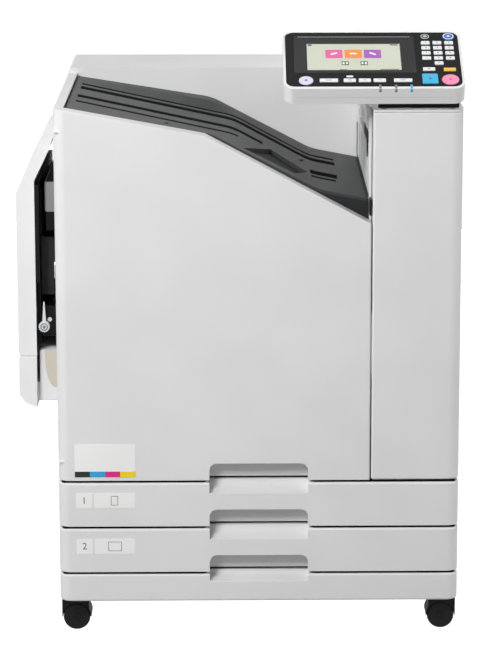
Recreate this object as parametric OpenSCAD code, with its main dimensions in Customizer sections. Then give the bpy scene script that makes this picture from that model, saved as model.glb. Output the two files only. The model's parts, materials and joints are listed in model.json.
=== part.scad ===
// Floor-standing multifunction printer: two paper cassettes, a swing front door,
// a flap-out feed tray on the left, an output tray on top and a tilting operation panel.
// Millimetres. The pieces are drawn with X = 0 at mid width, Y = 0 at the front face and
// Z = 0 at the floor; placed() then moves them to the middle of the whole footprint.

/* [Body] */
// Width of the body between its outer side faces
body_w = 740; // [720:1:770]
// Depth of the body from the front face to the back face
body_d = 700; // [690:1:740]
// Height of the flat top of the door and of the left strip above the floor
strip_z = 989; // [985:1:992]
// Height of the rear housing's top above the flat top
housing_up = 10; // [6:1:14]
// Depth of the rear housing
housing_d = 200; // [190:1:215]
// Height of the rear housing's side walls
housing_h = 181; // [170:1:190]
// Width of the column at the right, seen from the front
tower_w = 163; // [155:1:170]
// Radius of the upright corners of the front panels
corner_r = 22; // [16:1:26]
// Wall of the moulded covers
cover_t = 4; // [3:0.5:4.5]
// Seam between neighbouring covers
seam = 2; // [1.5:0.1:2.5]

/* [Fronts] */
// Height of the underside of the base above the floor
base_z = 67; // [66:1:72]
// Height of the base's front
base_h = 52; // [48:1:56]
// Gap between one front and the next
front_gap = 5; // [4:0.5:6]
// Height of a cassette's front
cassette_h = 83; // [80:1:90]
// Depth of every front panel
front_d = 38; // [37:0.5:39]
// Width of a finger grip
grip_w = 182; // [150:1:200]
// Height of a finger grip's mouth above the panel's lower edge
grip_mouth_h = 32; // [28:1:34]
// Height of a finger grip's pocket above the panel's lower edge
grip_pocket_h = 46; // [42:1:48]
// Depth of a finger grip's pocket
grip_depth = 30; // [26:1:31]
// Radius of the upper corners of a grip's mouth
grip_r = 14; // [8:1:16]
// Depth of the scoop in a cassette's upper edge
scoop_drop = 20.5; // [16:0.5:22]
// Depth of the scoop in the base's upper edge
base_scoop_drop = 13.6; // [10:0.2:15]
// Wall of a grip's pocket
pocket_t = 3; // [2:0.5:3]

/* [Door and tray] */
// Width of the flat strip along the left edge of the top
strip_w = 18; // [14:1:20]
// Place of the knee in the door's top edge, from mid width
door_knee_x = -97; // [-110:1:-90]
// Drop of the knee in the door's top edge below the flat top
door_knee_drop = 47; // [39:1:54]
// Drop of the door's top edge at its right end
door_right_drop = 209; // [190:1:212]
// Drop of the output tray's left end
tray_left_drop = 6; // [4:1:10]
// Place of the first bend in the output tray, from mid width
tray_knee_x = -88; // [-98:1:-80]
// Drop of the first bend in the output tray
tray_knee_drop = 48; // [46:1:52]
// Place of the second bend in the output tray, from mid width
tray_valley_x = 108; // [100:1:114]
// Drop of the second bend in the output tray
tray_valley_drop = 151; // [148:1:155]
// Drop of the output tray's right end
tray_right_drop = 169; // [165:1:173]
// Wall of the output tray
tray_t = 4; // [3:0.5:5]
// Height of the output tray's front skirt
skirt_h = 64; // [50:1:70]
// Distance of the door's hinge axis from its outer side face
hinge_in = 10; // [9:0.5:10.5]
// Distance of the door's hinge axis from its front face
hinge_back = 20; // [18:0.5:20.5]
// Radius of the door's hinge pins
hinge_r = 2.5; // [2:0.1:3]

/* [Frame] */
// Thickness of the frame's steel plates
sheet_t = 3; // [2:0.5:3.5]
// Gap between a side plate and its cover
plate_gap = 4; // [3:0.5:5]
// Thickness of the base plate
base_plate_t = 4; // [3:0.5:5]
// Distance of the side plates' front edges from the front face
plate_front = 50; // [46:1:52]
// Drop of the side plates' top edges below the flat top
plate_drop = 31; // [28:1:38]
// Width of the cassette rails
rail_w = 12; // [10:1:13]
// Height of the cassette rails
rail_h = 6; // [5:1:8]

/* [Cassettes] */
// Depth of a cassette's bin behind its front
bin_d = 382; // [350:1:390]
// Height of a cassette's bin
bin_h = 46; // [42:1:46]
// Wall of a cassette's bin
bin_t = 2.5; // [2:0.5:3]
// Length of the lift plate
lift_len = 256; // [220:1:258]
// Thickness of the lift plate
lift_t = 2; // [1.5:0.5:2.5]
// Radius of the lift plate's hinge pins
lift_pin_r = 2; // [1.5:0.1:2.5]
// Radius of the pickup rollers
pickup_r = 12; // [10:0.5:12]
// Radius of the shafts of all rollers
shaft_r = 4; // [3:0.5:5]

/* [Feed tray] */
// Reach of the feed tray beyond the body's side
feed_out = 76; // [74:1:80]
// Distance of the feed tray's front end from the front face
feed_y0 = 100; // [96:1:110]
// Width of the feed tray
feed_w = 400; // [380:1:410]
// Height of the feed tray's lower edge above the floor
feed_z = 513; // [510:1:516]
// Height of the bend at the feed tray's outer face
feed_bend_z = 820; // [810:1:825]
// Height of the feed tray's tip
feed_tip_z = 914; // [908:1:920]
// Thickness of the feed tray at its end walls
feed_band = 34; // [32:0.5:34]
// Thickness of the paper bed
bed_t = 8; // [6:0.5:8]
// Height of the lower edge of the cover below the feed tray
feed_low_z = 414; // [408:1:420]
// Radius of the feed tray's hinge pins
feed_pin_r = 3; // [2.5:0.1:3]
// Radius of the feed roller
feed_roller_r = 14; // [12:0.5:14]

/* [Operation panel] */
// Width of the operation panel's case
panel_w = 325; // [315:1:330]
// Length of the case along its slope
panel_l = 182; // [178:1:186]
// Thickness of the case
panel_t = 33; // [30:0.5:34]
// Tilt of the panel at rest
panel_tilt = 27; // [24:1:29]
// Reach of the panel in front of the front face
panel_out = 25; // [20:1:28]
// Height of the panel's top front edge above the flat top
panel_up = 42; // [40:1:47]
// Radius of the case's corners
panel_r = 20; // [14:1:24]
// Thickness of the black face
face_t = 3; // [2:0.5:3]
// Travel of the keys
key_travel = 1; // [0.8:0.1:1]
// Height of the keys above the black face when they are pressed
key_flush = 0.6; // [0.5:0.1:1]
// Radius of the panel's tilt pin
tilt_r = 5; // [4:0.5:5]

/* [Castors] */
// Radius of the castor wheels
wheel_r = 25; // [24:0.5:26]
// Width of one wheel disc
wheel_w = 15; // [12:1:16]
// Width of the castor's hood between the wheel discs
hood_w = 16; // [14:1:18]
// Distance of the swivel axis from the wheel's axle
castor_trail = 14; // [12:1:16]
// Distance of the wheel's middle from the body's side
castor_side = 29; // [28:1:32]
// Distance of the castors from the body's front and back
castor_end = 60; // [54:1:64]
// Radius of the swivel pin
swivel_r = 5; // [4:0.5:6]

/* [Hidden] */

// Facets of the true arcs, the overrun of cuts and the clearances
$fn = 48;
over = 1;
run_gap = 0.3;
bore_gap = 0.05;
key_gap = 0.3;

// Colours of the finishes
shell_colour = "#DCDCDA";
front_colour = "#D2D2D0";
steel_colour = "#AEB4B8";
dark_colour = "#5A5C5E";
black_colour = "#232425";
rubber_colour = "#3A3A3C";
board_colour = "#2F6B45";

// Derived places of the body
hx = body_w / 2;
tower_x = hx - tower_w;
door_x1 = tower_x - seam;
plate_x = hx - cover_t - plate_gap;
bay_x0 = sheet_t - plate_x;
guide_t = 6;
tower_plate_x1 = tower_x - guide_t;
bay_x1 = tower_plate_x1 - sheet_t;
side_y0 = front_d + cover_t;
housing_y0 = body_d - housing_d;
housing_top = strip_z + housing_up;
housing_z = housing_top - housing_h;
cap_z = strip_z - cover_t;
plate_top = strip_z - plate_drop;
panel_z = strip_z + panel_up;
door_knee_z = strip_z - door_knee_drop;
door_right_z = strip_z - door_right_drop;
tray_left_z = strip_z - tray_left_drop;
tray_knee_z = strip_z - tray_knee_drop;
tray_valley_z = strip_z - tray_valley_drop;
tray_right_z = strip_z - tray_right_drop;
back_in = body_d - cover_t;

// Derived heights of the stack of fronts
base_top = base_z + base_h;
low_z = base_top + front_gap;
high_z = low_z + cassette_h + front_gap;
door_z = high_z + cassette_h + front_gap;
floor_z = base_z + base_plate_t;
divider_z = high_z - front_gap / 2 - sheet_t / 2;
deck_z = door_z - front_gap / 2 - sheet_t / 2;

// Moves the pieces so that the origin is under the middle of the whole footprint
module placed() {
    translate([feed_out / 2, (panel_out - body_d) / 2, 0])
        children();
}

// Box between pairs of coordinates
module span_box(xs, ys, zs) {
    translate([xs[0], ys[0], zs[0]])
        cube([xs[1] - xs[0], ys[1] - ys[0], zs[1] - zs[0]]);
}

// Outline in X and Z drawn out along Y
module along_y(y0, y1) {
    translate([0, y1, 0])
        rotate([90, 0, 0])
            linear_extrude(y1 - y0)
                children();
}

// Outline in Y and Z drawn out along X
module along_x(x0, x1) {
    translate([x0, 0, 0])
        rotate([90, 0, 90])
            linear_extrude(x1 - x0)
                children();
}

// Round bars along each axis
module bar_x(x0, x1, y, z, r) {
    translate([x0, y, z])
        rotate([0, 90, 0])
            cylinder(h = x1 - x0, r = r);
}
module bar_y(x, y0, y1, z, r) {
    translate([x, y1, z])
        rotate([90, 0, 0])
            cylinder(h = y1 - y0, r = r);
}
module bar_z(x, y, z0, z1, r) {
    translate([x, y, z0])
        cylinder(h = z1 - z0, r = r);
}

// Rectangle with true round corners, from its lower left corner
module round_rect(w, h, r) {
    translate([r, 0])
        square([w - 2 * r, h]);
    translate([0, r])
        square([w, h - 2 * r]);
    for (x = [r, w - r], y = [r, h - r])
        translate([x, y])
            circle(r);
}

// What a round corner takes away at the origin
module corner_bite(r) {
    difference() {
        translate([-over, -over])
            square([r + over, r + over]);
        translate([r, r])
            circle(r);
    }
}

// Plan of a front panel with its front corners rounded
module front_plan(x0, x1, y0, y1, left_r, right_r) {
    difference() {
        translate([x0, y0])
            square([x1 - x0, y1 - y0]);
        if (left_r > 0)
            translate([x0, y0])
                corner_bite(left_r);
        if (right_r > 0)
            translate([x1, y0])
                mirror([1, 0])
                    corner_bite(right_r);
    }
}

// Moulded front panel: a skin with flanges all round, open at the back
module front_shell(x0, x1, z0, z1, left_r, right_r) {
    difference() {
        translate([0, 0, z0])
            linear_extrude(z1 - z0)
                front_plan(x0, x1, 0, front_d, left_r, right_r);
        translate([0, 0, z0 + cover_t])
            linear_extrude(z1 - z0 - 2 * cover_t)
                front_plan(x0 + cover_t, x1 - cover_t, cover_t, front_d + over,
                    max(left_r - cover_t, 0), max(right_r - cover_t, 0));
    }
}

// Upright stiffening ribs behind a skin, spaced evenly
rib_t = 2.5;
rib_pitch = 92;
rib_d = 24;
module rib_row(x0, x1, z0, z1, depth) {
    count = ceil((x1 - x0) / rib_pitch);
    step = (x1 - x0) / count;
    for (i = [1 : count - 1])
        span_box([x0 + i * step - rib_t / 2, x0 + i * step + rib_t / 2], [cover_t / 2, depth], [z0, z1]);
}

// Finger grip: the pocket's outer block, the hollow, and the hollowed scoop of the panel below
scoop_steps = 6;
module grip_block(z) {
    span_box([-grip_w / 2 - pocket_t, grip_w / 2 + pocket_t], [cover_t / 2, grip_depth + pocket_t],
        [z, z + grip_pocket_h + pocket_t]);
}
module grip_hollow(z) {
    span_box([-grip_w / 2, grip_w / 2], [cover_t, grip_depth], [z - over, z + grip_pocket_h]);
    along_y(-over, cover_t + over)
        difference() {
            translate([-grip_w / 2, z - grip_r - over])
                round_rect(grip_w, grip_mouth_h + grip_r + over, grip_r);
            translate([-grip_w, z - cassette_h])
                square([2 * grip_w, cassette_h - over]);
        }
}
module scoop_block(z, drop) {
    span_box([-grip_w / 2 - pocket_t, grip_w / 2 + pocket_t], [cover_t / 2, grip_depth + pocket_t],
        [z - drop - 2 * pocket_t, z]);
}
module scoop_hollow(z, drop) {
    curve = [for (i = [0 : scoop_steps]) [grip_depth * sin(90 * i / scoop_steps),
        z - drop * cos(90 * i / scoop_steps)]];
    along_x(-grip_w / 2, grip_w / 2)
        polygon(concat([[grip_depth, z + over], [-over, z + over], [-over, z - drop]], curve));
}

// Frame: base plate with the bored castor bosses, and the plates that stand on it
boss_wall = 7;
boss_h = 10;
castor_x = hx - castor_side - castor_trail;
castor_ys = [castor_end, body_d - castor_end];
module base_frame() {
    color(steel_colour)
        difference() {
            union() {
                span_box([-hx + cover_t, hx - cover_t], [front_d, back_in], [base_z, floor_z]);
                for (x = [-castor_x, castor_x], y = castor_ys)
                    bar_z(x, y, base_z, floor_z + boss_h, swivel_r + boss_wall);
            }
            for (x = [-castor_x, castor_x], y = castor_ys)
                bar_z(x, y, base_z - over, floor_z + boss_h + over, swivel_r + bore_gap);
        }
}

module base_skirt() {
    color(front_colour)
        difference() {
            union() {
                front_shell(-hx, hx, base_z, base_top, corner_r, corner_r);
                rib_row(-hx, hx, base_z + cover_t / 2, base_top - cover_t / 2, front_d);
                scoop_block(base_top, base_scoop_drop);
            }
            scoop_hollow(base_top, base_scoop_drop);
        }
}

// Rails that carry the cassettes, welded to the plates at both sides of the bay
rail_up = 34;
rail_y1 = front_d + bin_d;
module rail_pair(x) {
    for (z = [low_z, high_z])
        span_box([x, x + rail_w], [plate_front, rail_y1], [z + rail_up - rail_h, z + rail_up]);
}

// Feed mouth through the left wall, shared by the plate, the cover and the housing
mouth_in = 50;
mouth_y0 = feed_y0 + mouth_in;
mouth_y1 = feed_y0 + feed_w - mouth_in;
feed_table_up = 42;
feed_table_z = feed_z + feed_table_up;
mouth_h = 12;
mouth_z1 = feed_table_z + mouth_h;
plate_y1 = housing_y0 + housing_d / 2;
module left_side_plate() {
    color(steel_colour) {
        difference() {
            span_box([-plate_x, bay_x0], [plate_front, plate_y1], [floor_z, plate_top]);
            span_box([-plate_x - over, bay_x0 + over], [mouth_y0, mouth_y1], [feed_table_z, mouth_z1]);
        }
        rail_pair(bay_x0);
    }
}

module tower_side_plates() {
    color(steel_colour) {
        span_box([bay_x1, tower_plate_x1], [plate_front, housing_y0], [floor_z, tray_right_z - tray_t]);
        rail_pair(bay_x1 - rail_w);
        span_box([plate_x - sheet_t, plate_x], [plate_front, plate_y1], [floor_z, plate_top]);
    }
}

// Pickup rollers hang in bored ears under the plates above the cassettes
ear_t = 6;
ear_r = 9;
pickup_drop = pickup_r + shaft_r;
pickup_in = 48;
pickup_x = bay_x1 - pickup_in;
pickup_front = 60;
pickup_rear = 170;
pickup_y0 = plate_front + pickup_front;
pickup_y1 = housing_y0 - pickup_rear;
module roller_deck(z) {
    color(steel_colour)
        difference() {
            union() {
                span_box([bay_x0, bay_x1], [plate_front, housing_y0 - 2 * ear_t], [z, z + sheet_t]);
                for (y = [pickup_y0, pickup_y1 - ear_t]) {
                    span_box([pickup_x - ear_r, pickup_x + ear_r], [y, y + ear_t], [z - pickup_drop, z]);
                    bar_y(pickup_x, y, y + ear_t, z - pickup_drop, ear_r);
                }
            }
            bar_y(pickup_x, pickup_y0 - over, pickup_y1 + over, z - pickup_drop, shaft_r + bore_gap);
        }
}
module cassette_divider() {
    roller_deck(divider_z);
}
module engine_deck() {
    roller_deck(deck_z);
}

// Roller with a shaft and spaced rubber sleeves; its ends stand out of the ears
tyre_share = 0.2;
collar_w = 2;
shaft_out = 1;
module sleeved_roller(x, y0, y1, z, r, sleeves) {
    span = y1 - y0 - 2 * ear_t;
    color(rubber_colour) {
        bar_y(x, y0 - shaft_out, y1 + shaft_out, z, shaft_r);
        for (i = [0 : sleeves - 1])
            bar_y(x, y0 + ear_t + span * (i + 0.5 - tyre_share) / sleeves,
                y0 + ear_t + span * (i + 0.5 + tyre_share) / sleeves, z, r);
        for (y = [y0 + ear_t + run_gap, y1 - 2 * ear_t])
            bar_y(x, y, y + ear_t - run_gap, z, shaft_r + collar_w);
    }
}
module pickup_roller_1() {
    sleeved_roller(pickup_x, pickup_y0, pickup_y1, deck_z - pickup_drop, pickup_r, 3);
}
module pickup_roller_2() {
    sleeved_roller(pickup_x, pickup_y0, pickup_y1, divider_z - pickup_drop, pickup_r, 3);
}

// Covers of the two sides, the back and the rear housing
module left_cover() {
    color(shell_colour)
        difference() {
            union() {
                span_box([-hx, cover_t - hx], [side_y0, body_d], [base_z, housing_z]);
                span_box([-hx, cover_t - hx], [side_y0, housing_y0], [base_z, strip_z]);
                span_box([-hx, strip_w - hx], [side_y0, housing_y0], [cap_z, strip_z]);
            }
            span_box([-hx - over, cover_t - hx + over], [mouth_y0, mouth_y1], [feed_table_z, mouth_z1]);
        }
}

module right_cover() {
    color(shell_colour) {
        span_box([hx - cover_t, hx], [side_y0, body_d], [base_z, housing_z]);
        span_box([hx - cover_t, hx], [side_y0, housing_y0], [base_z, cap_z]);
    }
}

// Places on the back: the inlet, the switch and the fan
inlet_in = 60;
back_up = 90;
inlet_x = plate_x - inlet_in;
inlet_z = base_z + back_up;
inlet_w = 32;
inlet_h = 26;
switch_x = inlet_x - inlet_in;
switch_w = 24;
switch_h = 32;
supply_w = 170;
supply_side = 3;
fan_x = swivel_r + boss_wall + supply_side + supply_w / 2 - castor_x;
fan_z = base_z + back_up;
fan_r = 40;
louvre_w = 90;
louvre_h = 5;
louvre_pitch = 12;
louvre_x0 = fan_x - louvre_w / 2;
module rear_cover() {
    color(shell_colour)
        difference() {
            span_box([cover_t - hx, hx - cover_t], [back_in, body_d], [base_z, housing_z]);
            span_box([inlet_x - inlet_w / 2, inlet_x + inlet_w / 2], [back_in - over, body_d + over],
                [inlet_z - inlet_h / 2, inlet_z + inlet_h / 2]);
            span_box([switch_x - switch_w / 2, switch_x + switch_w / 2], [back_in - over, body_d + over],
                [inlet_z - switch_h / 2, inlet_z + switch_h / 2]);
            for (i = [-3 : 3])
                span_box([louvre_x0, louvre_x0 + louvre_w], [back_in - over, body_d + over],
                    [fan_z + i * louvre_pitch - louvre_h / 2, fan_z + i * louvre_pitch + louvre_h / 2]);
        }
}

housing_r = 8;
module rear_housing() {
    color(shell_colour)
        difference() {
            along_y(housing_y0, body_d)
                difference() {
                    translate([-hx, housing_z - housing_r])
                        round_rect(body_w, housing_h + housing_r, housing_r);
                    translate([-hx - over, housing_z - 2 * housing_r])
                        square([body_w + 2 * over, 2 * housing_r]);
                }
            span_box([cover_t - hx, hx - cover_t], [housing_y0 + cover_t, back_in],
                [housing_z - over, housing_top - cover_t]);
            for (x = [-plate_x, plate_x - sheet_t])
                span_box([x - bore_gap, x + sheet_t + bore_gap],
                    [housing_y0 - over, housing_y0 + cover_t + over],
                    [housing_z - over, plate_top + bore_gap]);
        }
}

// Column at the right
module tower_cover() {
    color(shell_colour) {
        front_shell(tower_x, hx, door_z, cap_z, cover_t, corner_r);
        rib_row(tower_x, hx, door_z + cover_t / 2, cap_z - cover_t / 2, rib_d);
    }
}

// Top of the column, with the bored ears that hold the operation panel
tilt_y = 26;
tilt_up = 17;
tilt_z = strip_z + tilt_up;
tilt_wall = 4;
tilt_ear_t = 8;
tilt_in = 15;
tilt_x0 = tower_x + tilt_in;
tilt_x1 = hx - tilt_in;
module tower_cap() {
    color(shell_colour)
        difference() {
            union() {
                translate([0, 0, cap_z])
                    linear_extrude(cover_t) {
                        front_plan(tower_x, hx, 0, side_y0, cover_t, corner_r);
                        translate([tower_plate_x1, side_y0])
                            square([hx - tower_plate_x1, housing_y0 - side_y0]);
                    }
                for (x = [tilt_x0, tilt_x1 - tilt_ear_t]) {
                    bar_x(x, x + tilt_ear_t, tilt_y, tilt_z, tilt_r + tilt_wall);
                    span_box([x, x + tilt_ear_t], [tilt_y - tilt_r - tilt_wall,
                        tilt_y + tilt_r + tilt_wall],
                        [strip_z - over, tilt_z]);
                }
            }
            bar_x(tilt_x0 - over, tilt_x1 + over, tilt_y, tilt_z, tilt_r + bore_gap);
        }
}

// Wall of the column above the tray, with the slot that the sheets leave by
exit_down = 75;
exit_z = cap_z - exit_down;
exit_h = 18;
exit_front = 68;
exit_rear = 50;
exit_y0 = side_y0 + exit_front;
exit_y1 = housing_y0 - exit_rear;
exit_r = 10;
exit_in = 16;
exit_x = tower_x + exit_in;
exit_axis_z = exit_z - exit_r;
module exit_guide() {
    color(shell_colour)
        difference() {
            union() {
                span_box([tower_plate_x1, tower_x], [side_y0, housing_y0],
                    [tray_right_z - tray_t - skirt_h, cap_z]);
                for (y = [exit_y0 - 2 * ear_t, exit_y1 + ear_t]) {
                    span_box([tower_x - over, exit_x], [y, y + ear_t],
                        [exit_axis_z - ear_r, exit_axis_z + ear_r]);
                    bar_y(exit_x, y, y + ear_t, exit_axis_z, ear_r);
                }
            }
            span_box([tower_plate_x1 - over, tower_x + over], [exit_y0, exit_y1],
                [exit_z, exit_z + exit_h]);
            bar_y(exit_x, exit_y0 - 3 * ear_t, exit_y1 + 3 * ear_t, exit_axis_z, shaft_r + bore_gap);
        }
}
module exit_roller() {
    sleeved_roller(exit_x, exit_y0 - 2 * ear_t, exit_y1 + 2 * ear_t, exit_axis_z, exit_r, 5);
}

// Output tray: a bent sheet with a skirt along its front edge and a rib under its rear edge
tray_x0 = strip_w - hx + run_gap;
tray_x1 = tower_plate_x1 - run_gap;
tray_y0 = front_d + seam;
tray_top = [[tray_x0, tray_left_z], [tray_knee_x, tray_knee_z], [tray_valley_x, tray_valley_z],
    [tray_x1, tray_right_z]];
tray_foot = [[bay_x1, tray_right_z - tray_t], [bay_x1, tray_right_z - skirt_h],
    [tray_valley_x, tray_valley_z - skirt_h], [tray_knee_x, tray_knee_z - skirt_h],
    [tray_x0, tray_left_z - skirt_h / 2]];
module output_tray() {
    color(dark_colour) {
        along_y(tray_y0, housing_y0)
            polygon(concat(tray_top, [for (i = [3 : -1 : 0]) tray_top[i] - [0, tray_t]]));
        along_y(tray_y0, tray_y0 + tray_t)
            polygon(concat(tray_top, [tray_top[3] - [0, tray_t]], tray_foot));
    }
}

// Front door: an outline that steps down to the right, with flanges and a finger grip
door_slope = (door_knee_z - door_right_z) / (door_x1 - door_knee_x);
door_sec = sqrt(1 + door_slope * door_slope);
module door_outline(inset) {
    polygon([[inset - hx, door_z + inset], [door_x1 - inset, door_z + inset],
        [door_x1 - inset, door_right_z - inset * door_sec + inset * door_slope],
        [door_knee_x, door_knee_z - inset * door_sec],
        [strip_w - hx, strip_z - inset], [inset - hx, strip_z - inset]]);
}
arm_t = 8;
arm_w = 8;
arm_up = 30;
arm_down = 45;
arm_zs = [door_z + arm_up, strip_z - arm_down];
pin_drop = 12;
door_pin_x = hinge_in - hx;
module front_door() {
    color(front_colour)
        difference() {
            union() {
                difference() {
                    intersection() {
                        along_y(0, front_d)
                            door_outline(0);
                        translate([0, 0, door_z])
                            linear_extrude(strip_z - door_z)
                                front_plan(-hx, door_x1, 0, front_d, corner_r, cover_t);
                    }
                    intersection() {
                        along_y(cover_t, front_d + over)
                            door_outline(cover_t);
                        translate([0, 0, door_z])
                            linear_extrude(strip_z - door_z)
                                front_plan(cover_t - hx, door_x1 - cover_t, cover_t, front_d + over,
                                    corner_r - cover_t, 0);
                    }
                }
                intersection() {
                    along_y(0, front_d)
                        door_outline(cover_t / 2);
                    rib_row(-hx + 2 * corner_r, door_x1, door_z, strip_z, rib_d);
                }
                grip_block(door_z);
                for (z = arm_zs) {
                    span_box([cover_t / 2 - hx, door_pin_x + 3 * hinge_r],
                        [cover_t / 2, hinge_back + 2 * hinge_r],
                        [z + arm_t / 2 + run_gap, z + arm_t]);
                    bar_z(door_pin_x, hinge_back, z - pin_drop, z + arm_t, hinge_r);
                }
            }
            grip_hollow(door_z);
            for (z = arm_zs)
                difference() {
                    span_box([-hx - over, door_pin_x], [hinge_back - arm_w - over, front_d + over],
                        [z - arm_t / 2 - over, z + arm_t / 2 + run_gap]);
                    bar_z(door_pin_x, hinge_back, z - arm_t, z + arm_t, hinge_r);
                }
        }
}

// Inner panel of the door, set between its flanges
liner_t = 3;
liner_y = front_d - liner_t - run_gap;
module door_liner() {
    color(shell_colour)
        difference() {
            along_y(liner_y, liner_y + liner_t)
                door_outline(cover_t);
            for (z = arm_zs)
                span_box([-hx, door_pin_x + arm_w], [0, body_d], [z - 3 * pin_drop, z + 2 * arm_t]);
        }
}

// Arms on the left side plate that carry the door's pins
arm_x0 = door_pin_x - arm_w / 2;
module hinge_arms() {
    color(steel_colour)
        difference() {
            for (z = arm_zs)
                union() {
                    span_box([arm_x0, arm_x0 + arm_w], [hinge_back, plate_front + 2 * arm_w],
                        [z - arm_t / 2, z + arm_t / 2]);
                    bar_z(door_pin_x, hinge_back, z - arm_t / 2, z + arm_t / 2, arm_w / 2);
                    span_box([bay_x0, bay_x0 + sheet_t], [plate_front, plate_front + 3 * arm_w],
                        [z - arm_t, z + arm_t]);
                    span_box([arm_x0, bay_x0 + sheet_t], [plate_front - sheet_t, plate_front],
                        [z - arm_t, z + arm_t]);
                }
            for (z = arm_zs) {
                bar_z(door_pin_x, hinge_back, z - arm_t, z + arm_t, hinge_r + bore_gap);
                span_box([-hx, bay_x0], [plate_front, body_d], [z - 2 * arm_t, z + 2 * arm_t]);
            }
        }
}

// Print engine behind the door: platen and belt below, heads above, ink below them
unit_front = 30;
unit_rear = 60;
unit_y0 = plate_front + unit_front;
unit_y1 = housing_y0 - unit_rear;
belt_r = 18;
belt_t = 1.5;
belt_up = 190;
belt_axis_z = deck_z + belt_up;
platen_h = 2 * (belt_r - over);
belt_left_in = 90;
belt_right_in = 40;
belt_side_in = 20;
belt_x0 = bay_x0 + belt_left_in;
belt_x1 = bay_x1 - belt_right_in;
belt_y0 = unit_y0 + belt_side_in;
belt_y1 = unit_y1 - belt_side_in;
rail_t = 6;
module belt_platen() {
    color(steel_colour)
        difference() {
            union() {
                span_box([belt_x0 + belt_r + 2 * belt_t, belt_x1 - belt_r - 2 * belt_t],
                    [belt_y0 + 2 * ear_t, belt_y1 - 2 * ear_t],
                    [belt_axis_z - platen_h / 2, belt_axis_z + platen_h / 2]);
                for (y = [unit_y0, unit_y1 - rail_t])
                    span_box([bay_x0, bay_x1], [y, y + rail_t],
                        [belt_axis_z - belt_r / 2, belt_axis_z + belt_r / 2]);
                for (y = [unit_y0 + rail_t / 2, belt_y1 - 2 * ear_t - over])
                    span_box([-belt_r, belt_r], [y, y + belt_y0 - unit_y0 + 2 * ear_t],
                        [belt_axis_z - belt_r / 2, belt_axis_z + belt_r / 2]);
                bar_y(belt_x0, unit_y0 + rail_t / 2, unit_y1 - rail_t / 2, belt_axis_z, shaft_r);
                bar_y(belt_x0, belt_y0, belt_y1, belt_axis_z, belt_r - run_gap);
            }
            for (y = [unit_y0, unit_y1 - rail_t])
                bar_y(belt_x1, y - over, y + rail_t + over, belt_axis_z, shaft_r + bore_gap);
        }
}
module belt_roller() {
    color(rubber_colour) {
        bar_y(belt_x1, unit_y0 - shaft_out, unit_y1 + shaft_out, belt_axis_z, shaft_r);
        bar_y(belt_x1, belt_y0, belt_y1, belt_axis_z, belt_r - run_gap);
        bar_y(belt_x1, unit_y0 + rail_t + run_gap, belt_y0, belt_axis_z, shaft_r + collar_w);
        bar_y(belt_x1, belt_y1, unit_y1 - rail_t - run_gap, belt_axis_z, shaft_r + collar_w);
    }
}
module belt_loop(r) {
    translate([belt_x0, belt_axis_z - r])
        square([belt_x1 - belt_x0, 2 * r]);
    for (x = [belt_x0, belt_x1])
        translate([x, belt_axis_z])
            circle(r);
}
module transport_belt() {
    color(black_colour)
        along_y(belt_y0 + run_gap, belt_y1 - run_gap)
            difference() {
                belt_loop(belt_r + belt_t);
                belt_loop(belt_r);
            }
}

// Four ink heads hang through one holder plate
head_share = 0.62;
head_h = 96;
head_gap = 3;
head_pitch_share = 0.15;
head_pitch = head_pitch_share * (bay_x1 - bay_x0);
head_w = head_share * head_pitch;
head_z0 = belt_axis_z + belt_r + belt_t + head_gap;
head_x0 = (bay_x0 + bay_x1) / 2 - 1.5 * head_pitch;
holder_z = head_z0 + head_h / 2;
module print_heads() {
    color(dark_colour) {
        span_box([bay_x0, bay_x1], [unit_y0, unit_y1], [holder_z, holder_z + sheet_t]);
        for (i = [0 : 3])
            span_box([head_x0 + i * head_pitch - head_w / 2, head_x0 + i * head_pitch + head_w / 2],
                [belt_y0 + 2 * ear_t, belt_y1 - 2 * ear_t], [head_z0, head_z0 + head_h]);
    }
}

// Ink cartridges stand in a finned rack on the deck
ink_h = 116;
ink_share = 0.85;
ink_pitch_share = 0.203;
ink_pitch = ink_pitch_share * (bay_x1 - bay_x0);
ink_w = ink_share * ink_pitch;
ink_front = 16;
ink_rear = 80;
ink_y0 = plate_front + ink_front;
ink_y1 = housing_y0 - ink_rear;
fin_h = 60;
rack_t = 4;
rack_z = deck_z + sheet_t;
ink_x0 = (bay_x0 + bay_x1) / 2 - 1.5 * ink_pitch;
module ink_rack() {
    color(dark_colour) {
        span_box([ink_x0 - ink_pitch / 2, ink_x0 + 3.5 * ink_pitch], [ink_y0 - rack_t, ink_y1 + rack_t],
            [rack_z, rack_z + rack_t]);
        for (i = [0 : 4])
            span_box([ink_x0 + (i - 0.5) * ink_pitch - rack_t / 2,
                ink_x0 + (i - 0.5) * ink_pitch + rack_t / 2],
                [ink_y0, ink_y1], [rack_z + rack_t / 2, rack_z + fin_h]);
    }
}
ink_r = 8;
module ink_cartridges() {
    color(black_colour)
        for (i = [0 : 3])
            along_y(ink_y0, ink_y1)
                translate([ink_x0 + i * ink_pitch - ink_w / 2, rack_z + rack_t])
                    round_rect(ink_w, ink_h, ink_r);
}

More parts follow.
